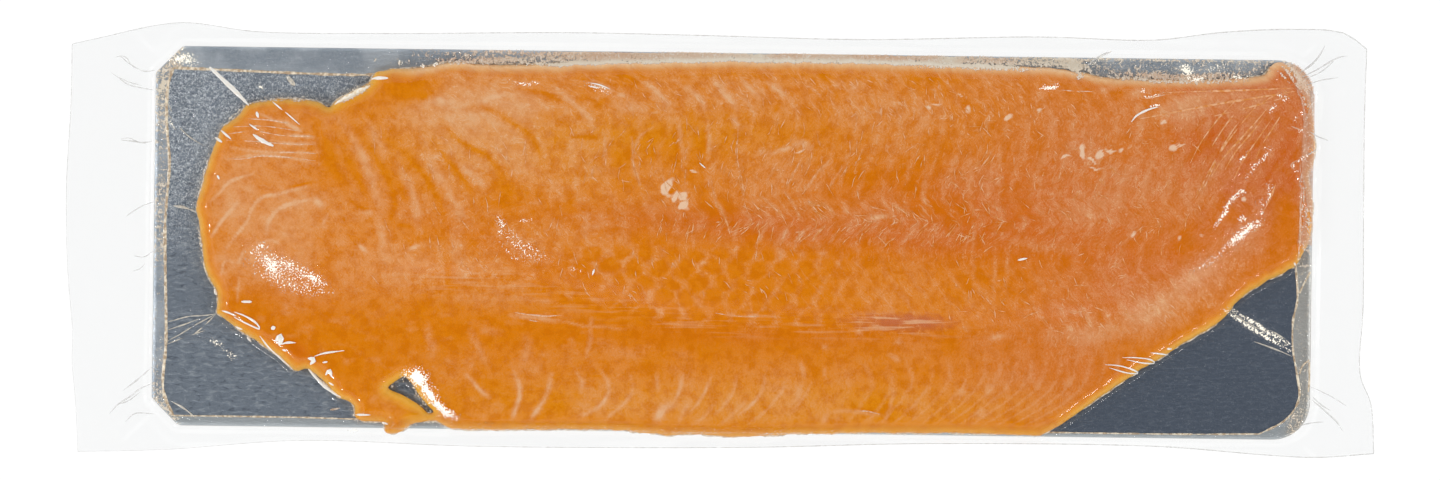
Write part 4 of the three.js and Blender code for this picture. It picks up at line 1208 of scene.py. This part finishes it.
upper_grid = patch(*four_sides(BAG_SIDES, UPPER_CELLS))
points = upper_grid.reshape(-1, 2)
bx, by = points.T
lifted = signed_distance(points, lift_outline)
off_flesh = on_raster(from_flesh, points)
off_board = on_raster(from_board, points)
on_board = smooth(-off_board / 0.4 + 0.6)
on_band = smooth(lifted / 0.8) * on_board
past_fish = smooth((off_flesh - 0.2) / 0.8) * smooth((bx + 85) / 12) * smooth((125 - bx) / 12) * on_board
by_top = np.maximum(on_band, past_fish) * smooth((by - 74) / 4) * np.interp(bx, *np.transpose(VEIL_TOP))
by_left = on_band * smooth((-258 - bx) / 6) * np.interp(by, *np.transpose(VEIL_LEFT))
by_right = on_band * smooth((bx - 272) / 5) * np.interp(by, *np.transpose(VEIL_RIGHT))
smear = smooth((3.2 - off_flesh) / 3) * smooth(off_flesh / 0.6 + 0.5) * (0.2 + 0.8 * drift(bx, by, 9, 2, 71))
smear *= 1 - 0.6 * smooth((bx - 130) / 30)
cream = bump_at(off_flesh, 0, 0.1, 0, 1.2, 1) * smooth((by - 78) / 4) * smooth((bx + 110) / 30)
cream *= smooth((150 - bx) / 12) * (0.75 + 0.5 * drift(bx, by, 6, 1, 73))
wavy = points + 1.6 * jitter(bx, by, 4, 2, 91, 95)
board_line = smooth((off_board + 1.8) / 0.9) * smooth((bx - 85) / 12) * (by > 80)
by_top = np.maximum(by_top, 0.6 * on_band * board_line)
crumples = drawn(wavy, CRUMPLES)
tan_fringe = drawn(wavy, TAN_FRINGE)
smear *= 0.75 * (off_board < 0)
veil = np.maximum.reduce([by_top, by_left, by_right, smear, cream, crumples * on_board, tan_fringe])
warm = 0.08 + 0.42 * (by_top > 0.1) * smooth((150 - bx) / 20) * (0.5 + drift(bx, by, 18, 2, 75))
warm += 0.75 * smooth((bx - 272) / 6) * smooth((by + 6) / 12) + 0.2 * drift(bx, by, 7, 1, 77)
warm *= 1 - np.clip(1.3 * np.maximum(cream, 0.7 * crumples), 0, 1)
warm += 0.6 * tan_fringe
crinkle = 0.05 + 0.55 * on_band
for *spot, strength in CRINKLES:
    crinkle = np.maximum(crinkle, strength * bump_at(bx, by, *spot))
glare = drawn(wavy, GLARE)
upper_faces = grid_faces(*upper_grid.shape[:2])
upper = mesh_piece("upper_film", np.column_stack([points, on_raster(film, points)]), upper_faces)
store(upper, "veil", np.column_stack([veil, np.clip(warm, 0, 1), crinkle]))
store(upper, "glare", glare)
marked = (np.maximum(veil, glare) > 0.02) | (crinkle > 0.15)
upper.data.polygons.foreach_set("material_index", marked[upper_faces].any(1).astype(np.int32))
lower_grid = patch(*four_sides(BAG_SIDES, LOWER_CELLS))
points = lower_grid.reshape(-1, 2)
rise = smooth((on_raster(from_board, points) - 0.4) / (WELD_OUT - 0.4))
under = mix(UNDERSIDE, on_raster(film, points) - SHEETS_APART, rise)
lower = mesh_piece("lower_film", np.column_stack([points, under]), grid_faces(*lower_grid.shape[:2]))

STRAIGHT_GLOSS = 0.025  # the share of light that the film throws back when looked at straight


def clear_film(film, normal):
    """Clear film: what is behind it shows, under a thin gloss that grows towards grazing sight."""
    gloss = film.node("BsdfGlossy", None, {"Color": (1, 1, 1), "Roughness": 0.08, "Normal": normal})
    clear = film.node("BsdfTransparent", None, {"Color": (0.975, 0.978, 0.978)})
    slant = film.node("LayerWeight", None, {"Blend": 0.5, "Normal": normal}, "Facing")
    share = (STRAIGHT_GLOSS + (1 - STRAIGHT_GLOSS) * slant**5.0).clamped()
    return film.node("MixShader", None, {0: share, 1: clear, 2: gloss})


film_plain = Finish("clear film")
grain = film_plain.noise(film_plain.place(), 9, 0)
plain_skin = film_plain.show(clear_film(film_plain, film_plain.bump(grain, 0.12)))
for sheet in (lower, upper):
    sheet.data.materials.append(plain_skin)

film_over = Finish("clouded film")
at = film_over.place()
veil, warm, crinkle = film_over.fields("veil")
glare = film_over.field("glare")
creep = film_over.noise(at, 1.9, 2, 0.6, 0.6)
grit = film_over.noise(at, 0.8, 1, 0.7)
shown = clear_film(film_over, film_over.bump(creep * crinkle, 1.6))
cloud = (veil + (creep - 0.5) * 1.1 + (grit - 0.5) * 0.7).rise(0.42, 0.66) * veil.rise(0.03, 0.2)
# Painted glare: where the glare strokes lie the film turns white in flecks and glows faintly by emission, as
# if it caught the boxes.
feathered = 1 - 0.45 * glare.rise(0.5, 1.1)
gleam = (glare * 0.62 + (grit - 0.5) * 1.7 * feathered + (creep - 0.5) * 0.9).rise(0.32, 0.54)
gleam = gleam * glare.rise(0.05, 0.25)
milk_and_glare_tone = film_over.tint(srgb(234, 222, 200), srgb(214, 158, 116), warm)
# Pale flecks in the milk: partly crinkled milky film, partly painted highlights of the crinkles.
milk_and_glare_tone = film_over.tint(milk_and_glare_tone, srgb(240, 234, 222), (creep * 0.5 + grit * 0.5).rise(0.52, 0.66) * 0.7)
milk_and_glare_tone = film_over.tint(milk_and_glare_tone, (0.96, 0.93, 0.86), gleam)
flash = film_over.tint((0, 0, 0), (0.30, 0.27, 0.19), gleam)
skin = {"Base Color": milk_and_glare_tone, "Roughness": 0.35, "Emission Color": flash, "Emission Strength": 1.0}
milk = film_over.node("BsdfPrincipled", None, skin)
tan_film = at.parts()[0].rise(270, 278) * warm.rise(0.62, 0.8) * veil.rise(0.03, 0.2) * (0.3 + 0.4 * creep)
cover = (cloud * 0.8).most(gleam * 0.9).most(tan_film)
shown = film_over.node("MixShader", None, {0: cover.clamped(), 1: shown, 2: milk})
upper.data.materials.append(film_over.show(shown))
for sheet in (upper, lower):
    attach(sheet, "root")
    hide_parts("bag")


# ---- Juice under the film --------------------------------------------------------------------------
# Tan juice from the fish stands as a bead wherever the upper film leaves the board or the flesh. Nothing
# but the film holds it, so it is broken and uneven.

RING_STEPS = 1400


def on_foil(path):
    return np.full(len(path), board_top + 0.12)


def on_film(path):
    return on_raster(film, path) + 0.04


def off(outline, distance):
    """A closed outline moved outward."""
    line = evenly(np.vstack([outline, outline[:1]]), RING_STEPS)
    return line + distance * outward(line)


LOOSE_LIFTS = [
    (1, [[285.8, -11.4], [283, -16.8], [280.6, -21.7]]),
    (0.9, [[285.9, -54.1], [282.6, -57.1], [281.2, -61]]),
    (0.9, [[285.9, -55.1], [286, -63.8], [285.6, -69.6]]),
    (1, [[280.6, 21], [282.1, 12.8], [284.1, 7.9], [286.1, 5.5]]),
]
lift_lines = [
    (0.75, lift_sides[0]), (1.3, lift_sides[1][:110]), (1.5, lift_sides[2]), (1.0, lift_sides[3][:84])
]
meniscus = strips("juice_line", lift_lines + LOOSE_LIFTS, on_foil, 0.25, 5, 0.12, False)
fringe = strips("juice_fringe", [(1.3, off(salmon_outline, 0.25))], on_foil, 0.6, 15, 0.4, False)

juice = Finish("tan juice")
lumpy = juice.noise(juice.place(), 2.2, 2, 0.6)
tone = juice.tint(srgb(196, 170, 140), srgb(238, 224, 200), lumpy.rise(0.35, 0.65))
juice_skin = juice.skin({"Base Color": tone, "Roughness": 0.25, "Alpha": (0.55 + 0.6 * lumpy).clamped()})
for piece in (meniscus, fringe):
    piece.data.materials.append(juice_skin)
    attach(piece, "root")
    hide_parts("bag")


# ---- Creases and pleats of the film ----------------------------------------------------------------
# Where the film had to shorten it stands up in thin pleats: they flash white over an edge (a painted
# highlight), hold some juice over the board, and are grey hairlines in the weld. In the notch it holds down
# a strip of fat.

# Pleats that flash white: painted highlights, near-white colour laid on the pleats where they would catch the
# light.
WHITE_FOLDS_AND_GLINTS = [
    (2.6, [[-249, 81], [-242, 74.5], [-236, 69], [-229.5, 62.5]]),
    (2, [[-170.5, 76], [-166.5, 76.5], [-162, 76.5]]), (1.6, [[-225.5, 59.5], [-224.5, 56.5]]),
    (0.8, [[-218, 64.5], [-213, 60.5]]), (0.9, [[-229, 53.5], [-224.5, 50.5]]),
    (2.2, [[-227, 48.5], [-222.5, 45.5], [-217, 43]]), (0.6, [[-211.5, 59.5], [-204.5, 53.5]]),
    (1, [[-243, 50.5], [-237.5, 46]]), (1.3, [[-246, 47], [-242, 44.5]]),
    (1, [[-244, 28.5], [-243, 26.5]]), (1.6, [[-231.5, -32.5], [-226.5, -32.5]]),
    (0.9, [[-235, -37.5], [-229.5, -39.5], [-224, -43], [-222.5, -45.5], [-229, -43], [-235, -40]]),
    (1, [[-241, -37], [-237.5, -38], [-234, -39.5]]), (2.4, [[-215, -51.5], [-212, -49], [-213, -53.5]]),
    (0.9, [[-212.5, -53], [-209, -52], [-205, -52]]), (1.1, [[-211.5, -55.5], [-209.5, -56]]),
    (2.2, [[-199, -59.5], [-196, -60], [-198, -62.5]]),
    (0.8, [[-196, -58.5], [-191.5, -57], [-181.5, -55.5]]), (1, [[-192, -61.5], [-189.5, -61]]),
    (1.6, [[-190.5, -67.5], [-188.5, -65], [-187.5, -68.5]]), (0.8, [[-189, -71], [-186.5, -72.5]]),
    (1.8, [[-217, -45.5], [-215, -44.5]]),
    (1, [[-222.5, -49], [-219, -53.5], [-215.5, -57], [-211, -61], [-207, -64.5]]),
    (1.8, [[-199, -64.7], [-194, -70.2], [-188, -75.2], [-183, -78.2]]),
    (1.8, [[-245, -26.5], [-244, -29.5]]), (1.3, [[-234.5, -44.5], [-231, -46]]),
    (1.2, [[-229, -49.5], [-227, -52]]), (1, [[-176, -86.5], [-168.5, -86.5]]),
    (1.2, [[-163, -90], [-160, -91]]), (1, [[-139, -80.5], [-135.5, -83], [-132.5, -85.5], [-128, -87]]),
    (0.7, [[186.5, -57.5], [193.5, -58], [200.5, -60], [203, -61.5], [198, -61.5], [188.5, -59]]),
    (0.7, [[195, -54], [202, -54], [209, -55], [211, -56.5], [205, -56.5], [197, -55]]),
    (0.7, [[208.5, -51.5], [213.5, -52], [217.5, -52.5]]), (1.2, [[216.5, -49.5], [219, -49.5]]),
    (1, [[277.5, -7], [278.5, -8.5]]), (1, [[-62, -17.5], [-61, -14.5]]),
    (1, [[143.5, -7.5], [148, -6.5]]), (0.9, [[197.5, 60], [200, 63], [205.5, 66], [210.5, 67.5]]),
    (0.6, [[-64.5, 75.5], [-59.5, 74.5], [-54.5, 72.5]]), (0.6, [[-65, 74], [-60.5, 73]]),
    (0.6, [[-11, 37.5], [-8, 35]]),
]
PALE_FOLDS = [
    (0.6, [[163.5, 75], [171, 74.5], [179, 74.5]]), (0.8, [[201.5, 71], [207, 72], [214, 73.5]]),
    (0.9, [[279.5, 40.5], [280, 28.5], [280, 16], [280, 4], [279, -6.5]]), (0.8, [[275, 59], [281, 56.5]]),
    (0.8, [[278, 42.5], [275, 40], [277, 38]]),
    (0.7, [[-99.5, -36], [-92, -37], [-83.5, -37.5], [-76.5, -37]]),
    (0.6, [[-97, -38.5], [-89.5, -40], [-82.5, -40.5]]),
    (0.6, [[-2.5, -35], [5, -36], [12, -36.5], [22.5, -36]]), (0.6, [[63, -82], [71, -81.5], [78, -83]]),
    (0.7, [[-239.5, 48.5], [-226.5, 50], [-212, 48], [-197.5, 48]]),
    (0.6, [[-240, 45.5], [-224, 45], [-209.5, 44], [-197.5, 44]]),
    (0.7, [[-229.5, 56], [-219.5, 55.5], [-210, 54]]), (0.6, [[-236.5, 52], [-222, 52.5], [-205.5, 50.5]]),
    (0.6, [[-239, 36.5], [-231.5, 36.5], [-223.5, 38], [-209.5, 37.5], [-196.5, 36]]),
    (0.5, [[-214.5, 40], [-204.5, 40], [-196, 39.5]]), (1, [[-188.5, -84.5], [-183.5, -83.5]]),
]
CARD_FOLDS = [
    (1.4, [[-265.5, 13.5], [-259.5, 12.5], [-254.5, 10.5]]),
    (0.8, [[-266, -81], [-259.5, -84.5], [-253, -89.5]]),
    (0.7, [[-243.5, -38.5], [-250, -39.5], [-257, -40], [-268, -43]]),
    (0.7, [[-244, -38.5], [-249.5, -41.5], [-254, -44], [-262, -49], [-267.5, -52]]),
    (0.6, [[-245, -39.5], [-250.5, -45], [-257, -50.5]]),
    (0.7, [[-268.5, -54], [-261.5, -51], [-254.5, -48.5], [-249, -46.5]]),
    (0.6, [[-268.5, -47], [-261, -44.5], [-252, -41]]),
    (0.6, [[-270, 59], [-265.5, 54], [-259, 47.5], [-251, 42.5]]), (0.6, [[-269, 63.5], [-267, 59]]),
    (2.6, [[-211.5, 77], [-207.5, 72.5]]), (0.8, [[248.5, -31.5], [254.5, -36], [263, -40]]),
    (0.7, [[259, -45.5], [265, -47.5], [273, -50.5], [277.5, -52.5]]), (0.7, [[267, -40], [274, -44]]),
]
NOTCH_FAT = [(2.6, [[-187.9, 63.4], [-182.8, 66.5], [-177.3, 69.3], [-170.8, 72.6]])]
HAIRLINES = [
    (0.7, [[-295, 85], [-292.5, 85.5], [-288.5, 82.5], [-281, 78.5], [-275.5, 79]]),
    (0.6, [[-293, 86], [-289.5, 85], [-287.5, 82]]),
    (0.7, [[-296.5, 77.5], [-293.5, 75.5], [-288.5, 72], [-282.5, 70.5], [-276.5, 69.5]]),
    (0.6, [[-293.5, 75.5], [-287.5, 73], [-282, 71.5]]),
    (0.6, [[-291.5, 45.5], [-287.5, 46], [-282.5, 44], [-276, 44.5]]),
    (0.6, [[-291.5, 45], [-286, 44.5], [-279.5, 43.5]]),
    (0.6, [[-288.5, 8], [-285, 10.5], [-280, 13.5], [-274.5, 15.5]]),
    (0.5, [[-284.5, -11], [-279.5, -11.5], [-275, -8.5]]),
    (0.5, [[-285, -18.5], [-281, -17], [-279, -14.5]]),
    (0.6, [[-289, -76.5], [-282.5, -71.5], [-273.5, -63.5]]),
    (0.7, [[-295.5, -88], [-291, -83], [-285, -79], [-281.5, -76], [-274.5, -72.5]]),
    (0.6, [[-291, -83], [-286.5, -81.5], [-280.5, -77]]),
    (0.6, [[-287.5, -91.5], [-283, -87.5], [-273.5, -87.5]]),
    (0.9, [[279.5, 85], [285.5, 89.5], [289.5, 94.5], [291.5, 98.5]]),
    (0.9, [[280.5, 83], [287.5, 86.5], [294, 90.5], [299, 93], [302.5, 93.5]]),
    (0.7, [[281.5, 82], [289.5, 85.5], [296, 91]]), (0.6, [[282.5, 79], [289.5, 81.5], [298, 83]]),
    (0.7, [[284, 56.5], [288, 54.5], [293.5, 52.5]]), (0.6, [[283, 45], [285.5, 46.5], [288, 47.5]]),
    (0.6, [[286.5, -67], [295.5, -71], [304, -76]]),
    (0.7, [[287.5, -73.5], [293.5, -78.5], [299.5, -84], [302.5, -88.5]]),
    (0.6, [[287.5, -71.5], [291.5, -75.5], [296.5, -78.5]]),
    (0.6, [[281.5, -86], [288, -84.5], [293, -84]]), (0.7, [[175.5, 86.5], [180, 90], [188.5, 94.5]]),
    (0.6, [[178, 89], [182.5, 92], [186.5, 94]]),
]


hem = [(0.5, off(closed(*four_sides(BAG_SIDES, (90, 90))), -0.3))]
for name, lines, breaks, finish, first, second, cover in (
    ("white_folds_and_glints", WHITE_FOLDS_AND_GLINTS, 0.0, "white fold and glint", (0.95, 0.94, 0.9), (0.85, 0.8, 0.72), 0.95),
    ("pale_folds", PALE_FOLDS, 0.3, "pale fold", srgb(240, 200, 160), srgb(250, 232, 210), 0.45),
    ("board_folds", CARD_FOLDS, 0.25, "board fold", srgb(226, 218, 202), srgb(180, 176, 168), 0.85),
    ("fat_in_notch", NOTCH_FAT, 0.0, "notch fat", srgb(234, 212, 178), srgb(248, 242, 228), None),
    ("hairlines", HAIRLINES + hem, 0.1, "hairline", srgb(190, 188, 184), srgb(220, 220, 218), 0.72),
):
    pleat = Finish(finish)
    cloudy = pleat.noise(pleat.place(), 1.5, 2, 0.6)
    skin = {"Base Color": pleat.tint(first, second, cloudy.rise(0.35, 0.65)), "Roughness": 0.15}
    if cover:
        skin["Alpha"] = (cover + 0.4 * (cloudy - 0.5)).clamped()
    fold = strips(name, lines, on_film, 0.35, 33, breaks)
    fold.data.materials.append(pleat.skin(skin))
    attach(fold, "root")
    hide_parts("bag")


# ---- Table, light and camera -----------------------------------------------------------------------
# A white light table, soft light from all round but not from straight above, four small soft boxes that
# draw the glints, and a far camera looking straight down.

VIEW_WIDTH = 698.4  # how much of the table the camera takes in
CAMERA_HEIGHT = 4000
CAMERA_PLACE = (-0.5, 0.34)
CAMERA_ROLL = 0.75  # degrees
SENSOR = 36
FARTHEST_SEEN = 50000
TABLE_REACH = 6000
TABLE_TOP = -0.3
TABLE_GLOW = 0.9
DARK_ABOVE, LIT_BELOW = 0.93, 0.85  # how steep a direction of the room is, 1 being straight up
DARK, LIT = 0.03, 1.15
BOX_SIZE = 240
BOXES = [  # place, and power in watts
    ("left box", (-1750, 100, 1600), 8),
    ("right box", (1750, 100, 1600), 8),
    ("front left box", (-1200, -1200, 1600), 8),
    ("front right box", (1200, -1200, 1600), 2.5),
]

table_square = TABLE_REACH * np.array([(-1, -1), (1, -1), (1, 1), (-1, 1)])
table = mesh_piece("table", np.column_stack([table_square, np.full(4, TABLE_TOP)]), [(0, 1, 2, 3)])
paper = Finish("white table")
tone = paper.tint((0.11, 0.11, 0.11), (0.13, 0.13, 0.13), paper.noise(paper.place(), 300, 1))
skin = {"Base Color": tone, "Roughness": 0.9, "Emission Color": (1, 1, 1), "Emission Strength": TABLE_GLOW}
table.data.materials.append(paper.skin(skin))

room = Finish("studio", bpy.data.worlds)
steepness = room.node("TexCoord", out="Generated").parts()[2]
fall = {"Value": steepness, "From Min": DARK_ABOVE, "From Max": LIT_BELOW, "To Min": DARK, "To Max": LIT}
glow = room.node("Background", None, {
    "Strength": room.node("MapRange", {"interpolation_type": "SMOOTHSTEP"}, fall),
})
room.node("OutputWorld", None, {"Surface": glow}, ())
bpy.context.scene.world = room.owner

for name, place, power in BOXES:
    lamp = bpy.data.lights.new(name, "AREA")
    lamp.size = BOX_SIZE * MM
    lamp.energy = power
    spot = np.array(place) * MM
    holder = bpy.data.objects.new(name, lamp)
    holder.location = spot
    holder.rotation_euler = Vector(spot).to_track_quat("Z", "Y").to_euler()
    bpy.context.collection.objects.link(holder)

lens = bpy.data.cameras.new("camera")
lens.sensor_width = SENSOR
lens.lens = SENSOR * CAMERA_HEIGHT / VIEW_WIDTH
lens.clip_end = FARTHEST_SEEN * MM
camera = bpy.data.objects.new("camera", lens)
camera.location = np.array([*CAMERA_PLACE, CAMERA_HEIGHT]) * MM
camera.rotation_euler = (0, 0, math.radians(CAMERA_ROLL))
bpy.context.collection.objects.link(camera)
bpy.context.scene.camera = camera
bpy.context.scene.view_settings.view_transform = "Standard"
